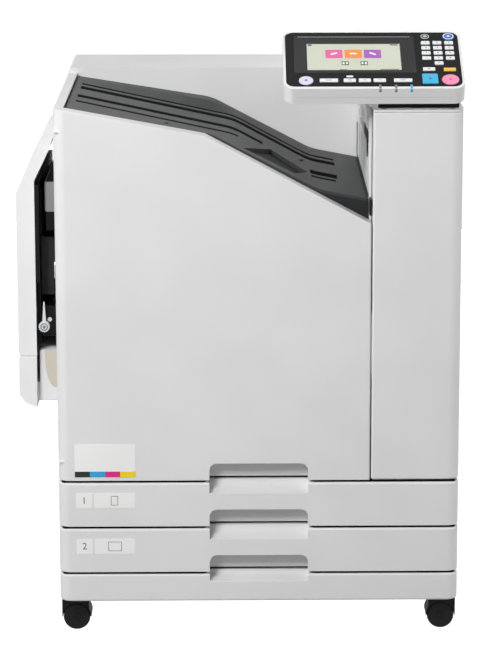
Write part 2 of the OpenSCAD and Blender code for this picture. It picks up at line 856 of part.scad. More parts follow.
// Feed unit on the left: the fixed housing with the table, the cheeks and the upper box
feed_x = hx + feed_out;
feed_y1 = feed_y0 + feed_w;
band_x = feed_band - feed_x;
bed_x = band_x + bed_t;
hinge_arc_r = 8;
feed_axis_x = hinge_arc_r - feed_x;
feed_axis_z = feed_z + hinge_arc_r;
cheek_t = 6;
cheek_in = 16;
cheek_y0 = feed_y0 + cheek_in;
cheek_y1 = feed_y1 - cheek_in;
feed_back_t = 3;
table_t = 8;
table_gap = 2;
table_x = bed_x + table_gap;
roller_side = 4;
throat_h = 10;
roller_x = -hx - feed_roller_r - roller_side;
roller_z = feed_table_z + throat_h + feed_roller_r;
cheek_up = 26;
cheek_z1 = roller_z + cheek_up;
upper_box_up = 169;
upper_box_z0 = roller_z + upper_box_up;
upper_box_h = 91;
upper_box_t = 22;
feed_back_up = 30;
module feed_housing() {
    color(black_colour)
        difference() {
            union() {
                span_box([-hx - feed_back_t, -hx], [cheek_y0, cheek_y1],
                    [feed_table_z - table_t, upper_box_z0 + upper_box_h + feed_back_up]);
                span_box([table_x, -hx], [cheek_y0, cheek_y1], [feed_table_z - table_t, feed_table_z]);
                for (y = [cheek_y0, cheek_y1 - cheek_t])
                    span_box([table_x, -hx], [y, y + cheek_t], [feed_table_z - table_t, cheek_z1]);
                span_box([-hx - upper_box_t, -hx], [cheek_y0, cheek_y1],
                    [upper_box_z0, upper_box_z0 + upper_box_h]);
            }
            span_box([-hx - feed_back_t - over, over - hx], [mouth_y0, mouth_y1],
                [feed_table_z, mouth_z1]);
            bar_y(roller_x, cheek_y0 - over, cheek_y1 + over, roller_z, shaft_r + bore_gap);
            bar_y(lever_x, cheek_y0 - over, cheek_y0 + cheek_t + over, roller_z - lever_drop,
                lever_pin_r + bore_gap);
        }
}
module feed_roller() {
    sleeved_roller(roller_x, cheek_y0, cheek_y1, roller_z, feed_roller_r, 5);
}

// Release lever on the front cheek
lever_pin_r = 3;
lever_r = 10;
lever_t = 8;
lever_drop = 12;
lever_l = 47;
lever_w = 7;
lever_in = 4;
lever_x = table_x + lever_in;
module guide_lever() {
    color(steel_colour) {
        bar_y(lever_x, cheek_y0 - run_gap - lever_t, cheek_y0 - run_gap, roller_z - lever_drop, lever_r);
        bar_y(lever_x, cheek_y0 - run_gap - over, cheek_y0 + cheek_t + over, roller_z - lever_drop,
            lever_pin_r);
        span_box([lever_x - lever_w / 2, lever_x + lever_w / 2],
            [cheek_y0 - run_gap - lever_t, cheek_y0 - run_gap - lever_t / 2],
            [roller_z - lever_drop, roller_z - lever_drop + lever_l]);
    }
}

// Fixed cover below the tray, its bracket against the body and the ears of the tray's hinge
low_bend = 24;
bracket_gap = 4;
low_gap = 1;
bracket_x = band_x + bracket_gap;
bracket_up = 9;
bracket_z0 = feed_low_z + bracket_up;
bracket_z1 = feed_z + 2 * bracket_gap - low_gap;
link_h = 36;
hinge_ear_r = 6;
hinge_ear_y0 = feed_y0 + cover_t + run_gap;
module low_outline() {
    polygon([[-feed_x, feed_low_z + low_bend], [low_bend / 2 - feed_x, feed_low_z + low_bend / 3],
        [band_x, feed_low_z], [band_x, feed_z - low_gap], [-feed_x, feed_z - low_gap]]);
}
module feed_lower_cover() {
    color(shell_colour)
        difference() {
            union() {
                difference() {
                    along_y(feed_y0, feed_y1)
                        low_outline();
                    span_box([cover_t - feed_x, band_x + over], [feed_y0 + cover_t, feed_y1 - cover_t],
                        [feed_low_z + low_bend, feed_z - low_gap - cover_t]);
                }
                span_box([band_x - over, -hx], [cheek_y0, cheek_y1], [bracket_z0, bracket_z0 + link_h]);
                span_box([bracket_x, -hx], [cheek_y0, cheek_y1], [bracket_z0, bracket_z1]);
                for (y = [hinge_ear_y0, feed_y1 - cover_t - run_gap - ear_t]) {
                    span_box([feed_axis_x - hinge_ear_r, feed_axis_x + hinge_ear_r], [y, y + ear_t],
                        [feed_z - 2 * low_gap, feed_axis_z]);
                    bar_y(feed_axis_x, y, y + ear_t, feed_axis_z, hinge_ear_r);
                }
            }
            bar_y(feed_axis_x, feed_y0 - over, feed_y1 + over, feed_axis_z, feed_pin_r + bore_gap);
        }
}

// Feed tray: a cranked outer cover with end walls, its bed and the two paper guides
tip_gap = 10;
tip_x = -hx - tip_gap;
tip_drop = 9;
shoulder_z = feed_tip_z - tip_drop;
tip_out = 25;
tip_t = 5;
inner_rise = 23;
inner_bend_z = feed_bend_z + inner_rise;
module tray_band() {
    translate([feed_axis_x, feed_axis_z])
        circle(hinge_arc_r);
    polygon([[-feed_x, feed_axis_z], [feed_axis_x, feed_axis_z], [feed_axis_x, feed_z], [band_x, feed_z],
        [band_x, inner_bend_z], [tip_x, feed_tip_z - tip_t], [tip_x, feed_tip_z],
        [tip_x - tip_out, shoulder_z], [-feed_x, feed_bend_z]]);
}
module feed_tray_cover() {
    color(shell_colour)
        difference() {
            union() {
                for (y = [feed_y0, feed_y1 - cover_t])
                    along_y(y, y + cover_t)
                        tray_band();
                along_y(feed_y0, feed_y1)
                    polygon([[-feed_x, feed_axis_z], [-feed_x, feed_bend_z],
                        [tip_x - tip_out, shoulder_z],
                        [tip_x, feed_tip_z], [tip_x, feed_tip_z - tip_t],
                        [tip_x - tip_out + cover_t / 2, shoulder_z - tip_t],
                        [cover_t - feed_x, feed_bend_z - over], [cover_t - feed_x, feed_axis_z]]);
                for (y = [feed_y0 + cover_t / 2, feed_y1 - cover_t - ear_t - 2 * run_gap])
                    bar_y(feed_axis_x, y, y + cover_t / 2 + ear_t + 2 * run_gap, feed_axis_z,
                        feed_pin_r);
            }
            for (y = [feed_y0 + cover_t, feed_y1 - cover_t - ear_t - 2 * run_gap])
                difference() {
                    span_box([-feed_x - over, feed_axis_x + 2 * hinge_ear_r],
                        [y, y + ear_t + 2 * run_gap],
                        [feed_z - over, feed_axis_z + hinge_ear_r + 2 * run_gap]);
                    bar_y(feed_axis_x, y - over, y + ear_t + 3 * over, feed_axis_z, feed_pin_r);
                }
        }
}

bed_up = 9;
bed_z0 = feed_axis_z + bed_up;
bed_z1 = inner_bend_z - bed_t;
module feed_tray_bed() {
    color(black_colour)
        difference() {
            span_box([band_x, bed_x], [feed_y0, feed_y1], [bed_z0, bed_z1]);
            span_box([band_x - over, bed_x + over], [feed_y0 - over, cheek_y0 + bed_relief],
                [bed_z0 - over, cheek_z1 + lever_l]);
            span_box([bed_x - slot_d, bed_x + over], [slot_y0, slot_y1],
                [slot_z - slot_w / 2, slot_z + slot_w / 2]);
        }
}

// Two guides slide along a groove of the bed, coupled about its middle
bed_relief = 2;
slot_d = 4;
slot_w = 10;
slot_in = 40;
slot_y0 = feed_y0 + slot_in;
slot_y1 = feed_y1 - slot_in;
guide_up = 14;
guide_z0 = cheek_z1 + guide_up;
guide_h = 110;
slot_z = guide_z0 + guide_h / 2;
guide_rise = 23;
guide_wall = 3;
guide_foot = 26;
guide_in = 50;
guide_y = feed_w / 2 - guide_in;
feed_mid = feed_y0 + feed_w / 2;
module paper_guide(side) {
    color(dark_colour)
        translate([0, feed_mid, 0])
            mirror([0, side, 0]) {
                span_box([bed_x + run_gap, bed_x + guide_rise], [-guide_y, guide_wall - guide_y],
                    [guide_z0, guide_z0 + guide_h]);
                span_box([bed_x + run_gap, bed_x + run_gap + guide_wall],
                    [-guide_y, guide_foot - guide_y],
                    [guide_z0, guide_z0 + guide_h]);
                span_box([bed_x - slot_d + run_gap, bed_x + run_gap + over],
                    [-guide_y, guide_foot - guide_y],
                    [slot_z - slot_w / 2 + run_gap, slot_z + slot_w / 2 - run_gap]);
            }
}
module paper_guide_front() {
    paper_guide(0);
}
module paper_guide_rear() {
    paper_guide(1);
}

// Cassette: a front with a grip, a bin that hangs on the rails, and a lift plate
module cassette_front(z) {
    color(front_colour)
        difference() {
            union() {
                front_shell(-hx, hx, z, z + cassette_h, corner_r, corner_r);
                rib_row(-hx, hx, z + cover_t / 2, z + cassette_h - cover_t / 2, front_d);
                grip_block(z);
                scoop_block(z + cassette_h, scoop_drop);
            }
            grip_hollow(z);
            scoop_hollow(z + cassette_h, scoop_drop);
        }
}
bin_side = 16;
bin_x0 = bay_x0 + bin_side;
bin_x1 = bay_x1 - bin_side;
bin_up = 6;
lift_x = (bin_x0 + bin_x1) / 2;
lift_barrel_r = 3.5;
lift_up = bin_up + bin_t + run_gap + lift_barrel_r;
module cassette_bin(z) {
    color(steel_colour)
        difference() {
            union() {
                difference() {
                    span_box([bin_x0, bin_x1], [front_d, front_d + bin_d],
                        [z + bin_up, z + bin_up + bin_h]);
                    span_box([bin_x0 + bin_t, bin_x1 - bin_t],
                        [front_d + bin_t, front_d + bin_d - bin_t],
                        [z + bin_up + bin_t, z + bin_up + bin_h + over]);
                }
                for (x = [bin_x0 - bin_side + 2 * bin_t, bin_x1 - over])
                    span_box([x, x + bin_side - 2 * bin_t + over], [plate_front, front_d + bin_d],
                        [z + rail_up + run_gap, z + rail_up + run_gap + bin_t]);
            }
            bar_y(lift_x, front_d - over, front_d + bin_d + over, z + lift_up, lift_pin_r + bore_gap);
        }
}
module lift_plate(z) {
    y0 = front_d + bin_t + run_gap;
    y1 = front_d + bin_d - bin_t - run_gap;
    color(dark_colour) {
        bar_y(lift_x, front_d + bore_gap, front_d + bin_d - bore_gap, z + lift_up, lift_pin_r);
        bar_y(lift_x, y0, y1, z + lift_up, lift_barrel_r);
        span_box([lift_x, lift_x + lift_len], [y0, y1],
            [z + lift_up - lift_barrel_r, z + lift_up - lift_barrel_r + lift_t]);
    }
}
module cassette_1_front() {
    cassette_front(high_z);
}
module cassette_1_bin() {
    cassette_bin(high_z);
}
module cassette_1_lift_plate() {
    lift_plate(high_z);
}
module cassette_2_front() {
    cassette_front(low_z);
}
module cassette_2_bin() {
    cassette_bin(low_z);
}
module cassette_2_lift_plate() {
    lift_plate(low_z);
}

// Power supply on the base plate with its fan, and the main board on posts
supply_d = 120;
supply_h = 130;
supply_gap = 6;
supply_y1 = back_in - supply_gap;
supply_t = 3;
fan_hub_r = 14;
fan_gap = 2;
fan_d = 20;
blade_count = 7;
blade_angle = 35;
blade_t = 2.5;
spider_w = 8;
fan_pin_r = 3;
module power_supply() {
    color(steel_colour)
        difference() {
            union() {
                difference() {
                    span_box([fan_x - supply_w / 2, fan_x + supply_w / 2],
                        [supply_y1 - supply_d, supply_y1],
                        [floor_z, floor_z + supply_h]);
                    bar_y(fan_x, supply_y1 - fan_d - 2 * fan_gap, supply_y1 + over, fan_z,
                        fan_r + fan_gap);
                }
                for (a = [0, 90])
                    translate([fan_x, supply_y1 - supply_t, fan_z])
                        rotate([0, a, 0])
                            translate([-fan_r - 2 * fan_gap, 0, -spider_w / 2])
                                cube([2 * fan_r + 4 * fan_gap, supply_t, spider_w]);
                bar_y(fan_x, supply_y1 - supply_t, supply_y1, fan_z, spider_w);
            }
            bar_y(fan_x, supply_y1 - supply_t - over, supply_y1 + over, fan_z, fan_pin_r + bore_gap);
        }
}
module fan_rotor() {
    color(black_colour) {
        bar_y(fan_x, supply_y1 - supply_t - run_gap - fan_d, supply_y1 - supply_t - run_gap, fan_z,
            fan_hub_r);
        bar_y(fan_x, supply_y1 - supply_t - over, supply_y1 - run_gap, fan_z, fan_pin_r);
        for (i = [0 : blade_count - 1])
            translate([fan_x, supply_y1 - supply_t - run_gap - fan_d / 2, fan_z])
                rotate([0, i * 360 / blade_count, 0])
                    translate([fan_hub_r - over, 0, 0])
                        rotate([blade_angle, 0, 0])
                            translate([0, -fan_d / 2 + over, -blade_t / 2])
                                cube([fan_r - fan_hub_r, fan_d - 2 * over, blade_t]);
    }
}

board_w = 380;
board_h = 300;
board_x0 = -board_w / 2;
board_up = 300;
board_z0 = base_z + board_up;
board_t = 2;
post_l = 40;
post_r = 5;
post_in = 14;
board_y = back_in - post_l - board_t;
chip_t = 8;
chip_w = 54;
chip_shares = [0.14, 0.43, 0.72];
module control_board() {
    color(board_colour) {
        span_box([board_x0, board_x0 + board_w], [board_y, board_y + board_t],
            [board_z0, board_z0 + board_h]);
        for (x = [board_x0 + post_in, board_x0 + board_w - post_in],
            z = [board_z0 + post_in, board_z0 + board_h - post_in])
            bar_y(x, board_y + board_t / 2, back_in, z, post_r);
        for (share = chip_shares)
            span_box([board_x0 + share * board_w, board_x0 + share * board_w + chip_w],
                [board_y - chip_t, board_y + board_t / 2],
                [board_z0 + board_h / 2, board_z0 + board_h / 2 + chip_w]);
    }
}

// Inlet socket and rocker switch in the back
inlet_d = 24;
inlet_t = 2;
blade_w = 3;
blade_h = 5;
blade_pitch = 7;
switch_d = 16;
module power_inlet() {
    color(black_colour) {
        difference() {
            span_box([inlet_x - inlet_w / 2, inlet_x + inlet_w / 2], [body_d - inlet_d, body_d],
                [inlet_z - inlet_h / 2, inlet_z + inlet_h / 2]);
            span_box([inlet_x - inlet_w / 2 + inlet_t, inlet_x + inlet_w / 2 - inlet_t],
                [body_d - inlet_d + inlet_t, body_d + over],
                [inlet_z - inlet_h / 2 + inlet_t, inlet_z + inlet_h / 2 - inlet_t]);
        }
        for (i = [-1 : 1])
            span_box([inlet_x + i * blade_pitch - blade_w / 2, inlet_x + i * blade_pitch + blade_w / 2],
                [body_d - inlet_d + inlet_t / 2, body_d - inlet_d / 3],
                [inlet_z - blade_h / 2, inlet_z + blade_h / 2]);
        difference() {
            span_box([switch_x - switch_w / 2, switch_x + switch_w / 2], [body_d - switch_d, body_d],
                [inlet_z - switch_h / 2, inlet_z + switch_h / 2]);
            span_box([switch_x - switch_w / 2 + inlet_t, switch_x + switch_w / 2 - inlet_t],
                [body_d - switch_d + inlet_t, body_d + over],
                [inlet_z - switch_h / 2 + inlet_t, inlet_z + switch_h / 2 - inlet_t]);
            bar_x(switch_x - switch_w, switch_x + switch_w, rocker_y, inlet_z, rocker_pin_r + bore_gap);
        }
    }
}
rocker_pin_r = 1.5;
rocker_t = 6;
rocker_in = 6;
rocker_y = body_d - rocker_in;
rocker_gap = 2;
module power_switch() {
    color(black_colour) {
        span_box([switch_x - switch_w / 2 + inlet_t + key_gap,
            switch_x + switch_w / 2 - inlet_t - key_gap],
            [rocker_y - rocker_t / 2, rocker_y + rocker_t / 2],
            [inlet_z - switch_h / 2 + inlet_t + rocker_gap,
            inlet_z + switch_h / 2 - inlet_t - rocker_gap]);
        bar_x(switch_x - switch_w / 2 + bore_gap, switch_x + switch_w / 2 - bore_gap, rocker_y,
            inlet_z, rocker_pin_r);
    }
}

// Operation panel in its own slope: u to the right, v up the slope, w out of the face
module on_slope() {
    translate([hx - panel_w, -panel_out, panel_z])
        rotate([panel_tilt, 0, 0])
            children();
}
module slope_plate(u0, v0, w0, w, l, t, r) {
    translate([u0, v0, w0])
        linear_extrude(t)
            round_rect(w, l, r);
}
rim_u = 4.5;
rim_v0 = 7;
rim_v1 = 3;
case_floor = 3;
panel_rib_h = 20;
neck_in = tilt_ear_t + run_gap;
module panel_case() {
    color(shell_colour) {
        on_slope() {
            difference() {
                slope_plate(0, 0, -panel_t, panel_w, panel_l, panel_t, panel_r);
                slope_plate(rim_u, rim_v0, case_floor - panel_t, panel_w - 2 * rim_u,
                    panel_l - rim_v0 - rim_v1, panel_t, panel_r - rim_u);
            }
            for (i = [1 : 3])
                translate([panel_w * i / 4, rim_v0 / 2, case_floor / 2 - panel_t])
                    cube([rib_t, panel_l - (rim_v0 + rim_v1) / 2, panel_rib_h]);
        }
        intersection() {
            span_box([tilt_x0 + neck_in, tilt_x1 - neck_in],
                [tilt_y - tilt_r - tilt_wall, tilt_y + tilt_r + tilt_wall], [tilt_z, panel_z]);
            on_slope()
                translate([0, -panel_l, -3 * panel_t])
                    cube([panel_w, 3 * panel_l, 2 * panel_t + case_floor / 2]);
        }
        bar_x(tilt_x0 + neck_in, tilt_x1 - neck_in, tilt_y, tilt_z, tilt_r + tilt_wall);
        bar_x(tilt_x0, tilt_x1, tilt_y, tilt_z, tilt_r);
    }
}

// Keys of the panel; their middles are shares of the case's width and length
key_w = 16;
key_l = 10;
key_r = 1.5;
num_du = 21.4;
num_dv = 16.3;
num_shares = [0.801, 0.793];
id_shares = [0.933, 0.902];
clear_shares = [0.808, 0.332];
reset_shares = [0.923, 0.324];
start_shares = [0.809, 0.165];
stop_shares = [0.921, 0.151];
wake_shares = [0.124, 0.137];
row_share = 0.14;
wide_shares = [0.25, 0.659];
mid_shares = [0.365, 0.448, 0.53];
wide_w = 33;
mid_w = 22;
id_r = 11;
wake_r = 13;
start_w = 28.5;
start_l = 31;
stop_r = 15.5;
function spot(shares) = [shares[0] * panel_w, shares[1] * panel_l];
numeric_spots = concat([for (r = [0 : 3], c = [0 : 2]) spot(num_shares) + [c * num_du, -r * num_dv]],
    [spot(num_shares) + [num_du, -4 * num_dv]]);
wide_spots = [for (share = wide_shares) spot([share, row_share])];
mid_spots = concat([for (share = mid_shares) spot([share, row_share])],
    [spot(clear_shares), spot(reset_shares)]);
key_deep = 6;
key_proud = key_flush + key_travel;
module key_slab(place, w, l, r, grow) {
    slope_plate(place[0] - w / 2 - grow, place[1] - l / 2 - grow, -key_deep - grow, w + 2 * grow,
        l + 2 * grow, key_deep + key_proud + grow, r);
}
module key_disc(place, r, grow) {
    translate([place[0], place[1], -key_deep - grow])
        cylinder(h = key_deep + key_proud + grow, r = r + grow);
}
bezel_w = 220;
bezel_l = 118;
bezel_d = 1.5;
bezel_r = 4;
bezel_shares = [0.4, 0.604];
screen_w = 170;
screen_l = 85;
screen_t = 5;
screen_shares = [0.395, 0.566];
bezel_spot = spot(bezel_shares);
screen_spot = spot(screen_shares);
module panel_face() {
    color(black_colour)
        on_slope()
            difference() {
                slope_plate(rim_u + bore_gap, rim_v0 + bore_gap, -face_t,
                    panel_w - 2 * (rim_u + bore_gap),
                    panel_l - rim_v0 - rim_v1 - 2 * bore_gap, face_t, panel_r - rim_u);
                slope_plate(bezel_spot[0] - bezel_w / 2, bezel_spot[1] - bezel_l / 2, -bezel_d,
                    bezel_w, bezel_l,
                    face_t, bezel_r);
                for (place = numeric_spots)
                    key_slab(place, key_w, key_l, key_r, key_gap);
                for (place = wide_spots)
                    key_slab(place, wide_w, key_l, key_r, key_gap);
                for (place = mid_spots)
                    key_slab(place, mid_w, key_l, key_r, key_gap);
                key_disc(spot(id_shares), id_r, key_gap);
                key_disc(spot(wake_shares), wake_r, key_gap);
                key_slab(spot(start_shares), start_w, start_l, 2 * key_r, key_gap);
                key_disc(spot(stop_shares), stop_r, key_gap);
                translate([screen_spot[0] - screen_w / 2, screen_spot[1] - screen_l / 2, -2 * face_t])
                    cube([screen_w, screen_l, 2 * face_t]);
            }
}
module touch_screen() {
    color("#C8CDB9")
        on_slope()
            translate([screen_spot[0] - screen_w / 2 + bore_gap,
                screen_spot[1] - screen_l / 2 + bore_gap,
                -screen_t - bezel_d])
                cube([screen_w - 2 * bore_gap, screen_l - 2 * bore_gap, screen_t]);
}
module numeric_keys() {
    color("#ECECEC")
        on_slope()
            for (place = numeric_spots)
                key_slab(place, key_w, key_l, key_r, 0);
}
module function_keys() {
    color("#ECECEC")
        on_slope() {
            for (place = wide_spots)
                key_slab(place, wide_w, key_l, key_r, 0);
            for (place = mid_spots)
                key_slab(place, mid_w, key_l, key_r, 0);
            key_disc(spot(id_shares), id_r, 0);
            key_disc(spot(wake_shares), wake_r, 0);
        }
}
module start_key() {
    color("#00B4DC")
        on_slope()
            key_slab(spot(start_shares), start_w, start_l, 2 * key_r, 0);
}
module stop_key() {
    color("#F58FB5")
        on_slope()
            key_disc(spot(stop_shares), stop_r, 0);
}

// Castors: a hooded fork that swivels in the base plate and a pair of wheel discs on one axle
hood_gap = 0.8;
hood_t = 1.7;
hood_top = 4;
axle_z = wheel_r;
hood_r = wheel_r + hood_gap + hood_t;
hood_y = hood_w / 2 + wheel_w + run_gap;
module castor_at(side, end) {
    translate([side * castor_x, castor_ys[end], 0])
        mirror([side > 0 ? 0 : 1, 0, 0])
            children();
}
module castor_fork() {
    color(black_colour)
        difference() {
            union() {
                bar_z(0, 0, axle_z, floor_z + boss_h, swivel_r);
                difference() {
                    union() {
                        bar_y(castor_trail, -hood_y, hood_y, axle_z, hood_r);
                        span_box([-swivel_r - hood_top, castor_trail + hood_r], [-hood_y, hood_y],
                            [axle_z, base_z - run_gap]);
                    }
                    for (side = [-1, 1])
                        translate([0, side * (hood_w + wheel_w + 2 * run_gap) / 2, 0]) {
                            bar_y(castor_trail, -wheel_w / 2 - run_gap, wheel_w / 2 + over, axle_z,
                                wheel_r + hood_gap);
                            bar_y(castor_trail, -wheel_w / 2 - over, wheel_w / 2 + run_gap, axle_z,
                                wheel_r + hood_gap);
                        }
                    span_box([-hood_r, castor_trail + 2 * hood_r], [-2 * hood_y, 2 * hood_y],
                        [-axle_z, axle_z]);
                }
                bar_y(castor_trail, -hood_w / 2 + run_gap, hood_w / 2 - run_gap, axle_z,
                    wheel_r - hood_top);
            }
            bar_y(castor_trail, -hood_w, hood_w, axle_z, shaft_r + bore_gap);
        }
}
module castor_wheels() {
    color(rubber_colour) {
        bar_y(castor_trail, -hood_w / 2 - wheel_w / 2, hood_w / 2 + wheel_w / 2, axle_z, shaft_r);
        for (side = [-1, 1])
            translate([0, side * (hood_w + wheel_w + 2 * run_gap) / 2, 0])
                bar_y(castor_trail, -wheel_w / 2, wheel_w / 2, axle_z, wheel_r);
    }
}
module castor_fork_fl() {
    castor_at(-1, 0)
        castor_fork();
}
module castor_fork_fr() {
    castor_at(1, 0)
        castor_fork();
}
module castor_fork_rl() {
    castor_at(-1, 1)
        castor_fork();
}
module castor_fork_rr() {
    castor_at(1, 1)
        castor_fork();
}
module castor_wheels_fl() {
    castor_at(-1, 0)
        castor_wheels();
}
module castor_wheels_fr() {
    castor_at(1, 0)
        castor_wheels();
}
module castor_wheels_rl() {
    castor_at(-1, 1)
        castor_wheels();
}
module castor_wheels_rr() {
    castor_at(1, 1)
        castor_wheels();
}

placed() base_frame();
placed() base_skirt();
placed() left_side_plate();
placed() tower_side_plates();
placed() cassette_divider();
placed() engine_deck();
placed() left_cover();
placed() right_cover();
placed() rear_cover();
placed() rear_housing();
placed() tower_cover();
placed() tower_cap();
placed() exit_guide();
placed() output_tray();
placed() hinge_arms();
placed() front_door();
placed() door_liner();
placed() print_heads();
placed() belt_platen();
placed() transport_belt();
placed() ink_rack();
placed() ink_cartridges();
placed() feed_housing();
placed() feed_lower_cover();
placed() feed_tray_cover();
placed() feed_tray_bed();
placed() paper_guide_front();
placed() paper_guide_rear();
placed() guide_lever();
placed() feed_roller();
placed() cassette_1_front();
placed() cassette_1_bin();
placed() cassette_1_lift_plate();
placed() cassette_2_front();
placed() cassette_2_bin();
placed() cassette_2_lift_plate();
placed() pickup_roller_1();
placed() pickup_roller_2();
placed() exit_roller();
placed() belt_roller();
placed() power_supply();
placed() fan_rotor();
placed() control_board();
placed() power_inlet();
placed() power_switch();
placed() panel_case();
placed() panel_face();
placed() touch_screen();
placed() numeric_keys();
placed() function_keys();
placed() start_key();
placed() stop_key();
placed() castor_fork_fl();
placed() castor_fork_fr();
placed() castor_fork_rl();
placed() castor_fork_rr();
placed() castor_wheels_fl();
placed() castor_wheels_fr();
placed() castor_wheels_rl();
placed() castor_wheels_rr();
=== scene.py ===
"""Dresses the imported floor-standing multifunction printer in its finishes and fine parts.

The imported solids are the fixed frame. Fronts and covers get copies with rounded rims, and the
small parts that the solids leave out, such as labels, key legends, grooves and screws, are
modelled here. Machine millimetres are measured from mid width, the front face and the floor.
"""

from __future__ import annotations

import json
import logging
import math
from collections.abc import Callable, Iterable
from dataclasses import dataclass, field
from enum import Enum
from typing import NamedTuple

import bmesh
import bpy
from mathutils import Matrix, Vector

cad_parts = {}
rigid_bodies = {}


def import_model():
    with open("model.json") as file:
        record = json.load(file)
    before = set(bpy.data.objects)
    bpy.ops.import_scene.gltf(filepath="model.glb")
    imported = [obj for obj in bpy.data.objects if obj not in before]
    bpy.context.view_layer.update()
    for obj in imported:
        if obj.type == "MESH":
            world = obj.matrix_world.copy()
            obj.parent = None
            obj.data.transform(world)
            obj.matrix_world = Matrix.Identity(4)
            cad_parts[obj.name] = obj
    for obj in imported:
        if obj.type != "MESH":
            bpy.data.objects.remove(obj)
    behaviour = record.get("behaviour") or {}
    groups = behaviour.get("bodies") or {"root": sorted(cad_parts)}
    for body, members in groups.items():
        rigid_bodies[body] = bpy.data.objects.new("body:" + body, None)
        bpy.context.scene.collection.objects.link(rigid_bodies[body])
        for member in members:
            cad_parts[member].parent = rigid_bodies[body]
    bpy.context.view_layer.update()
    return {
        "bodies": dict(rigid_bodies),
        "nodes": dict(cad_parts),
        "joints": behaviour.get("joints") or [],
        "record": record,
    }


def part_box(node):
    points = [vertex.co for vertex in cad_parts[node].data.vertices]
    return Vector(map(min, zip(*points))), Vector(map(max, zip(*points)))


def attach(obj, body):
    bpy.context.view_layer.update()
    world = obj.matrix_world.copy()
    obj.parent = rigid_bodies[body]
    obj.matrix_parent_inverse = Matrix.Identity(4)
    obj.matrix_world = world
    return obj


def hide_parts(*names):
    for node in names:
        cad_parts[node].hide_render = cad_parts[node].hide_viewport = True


Mesh = bmesh.types.BMesh
Edge = bmesh.types.BMEdge
Vert = bmesh.types.BMVert
Face = bmesh.types.BMFace
Tree = bpy.types.NodeTree
Socket = bpy.types.NodeSocket
EdgeTest = Callable[[Edge], bool]
Spot = tuple[float, float]
Place = tuple[float, float, float]

MM = 0.001
WHITE = (1, 1, 1, 1)
# Distances in metres: points that count as one, loose triangles that are welded, how near to a
# cutting plane a vertex lies on it, and how near to a level an edge lies on that.
SAME_POINT, WELD, CUT_SNAP, LEVEL_SNAP = 1e-6, 2e-6, 1e-7, 1e-5
# Metres: a back plane so far off that every edge lies in front of it.
NO_BACK = 9.0
# Degrees: how far two faces of a solid may lean apart and still become one flat face.
FLAT_ANGLE = 0.5
# Parts of a normal: what a level face has at least upwards at an upper rim, and downwards at a
# lower one, what an upright face has at most, and what a pressed face has at least.
UPPER_LEVEL, LOWER_LEVEL, UPRIGHT_MOST, PRESSED_LEAST = 0.3, 0.7, 0.25, 0.2
# The font's size over its height of a capital, and facets along each of its curves.
FONT_SIZE, FONT_STEPS = 1.4, 3
# Facets across an upright corner and across a rim of a new plate.
CORNER_FACETS, RIM_FACETS = 6, 3
# Millimetres: how thick a print is, how far it is sunk into a key, how deep a finish's relief is.
PRINT_T, PRINT_SUNK, RELIEF_D = 0.12, 0.02, 0.05
# Octaves of the fine grain and of the slow waver, and where the waver's ramp starts and ends.
GRAIN_DETAIL, WAVER_DETAIL, WAVER_RAMP = 3.0, 2.0, (0.35, 0.65)
log = logging.getLogger("printer")


def linear(hex_colour: str) -> tuple[float, float, float, float]:
    """Turns an sRGB hex colour into linear light.

    Args:
        hex_colour: The colour as "#RRGGBB".

    Returns:
        Red, green, blue and an alpha of 1.
    """
    parts = [int(hex_colour[i : i + 2], 16) / 255 for i in (1, 3, 5)]
    red, green, blue = (p / 12.92 if p <= 0.04045 else ((p + 0.055) / 1.055) ** 2.4 for p in parts)
    return red, green, blue, 1.0


def add_node(
    tree: Tree,
    kind: str,
    settings: dict[str | int, object] | None = None,
    links: dict[str | int, Socket] | None = None,
) -> bpy.types.Node:
    """Adds a node with its settings and links.

    Args:
        tree: The node tree.
        kind: The node's type, such as "ShaderNodeTexNoise".
        settings: Values for sockets, by name or number, or for the node's own properties.
        links: Output sockets to plug into the node's inputs, by name or number.

    Returns:
        The new node.
    """
    node = tree.nodes.new(kind)
    for key, value in (settings or {}).items():
        if isinstance(key, int) or key in node.inputs:
            node.inputs[key].default_value = value
        else:
            setattr(node, key, value)
    for key, source in (links or {}).items():
        tree.links.new(source, node.inputs[key])
    return node


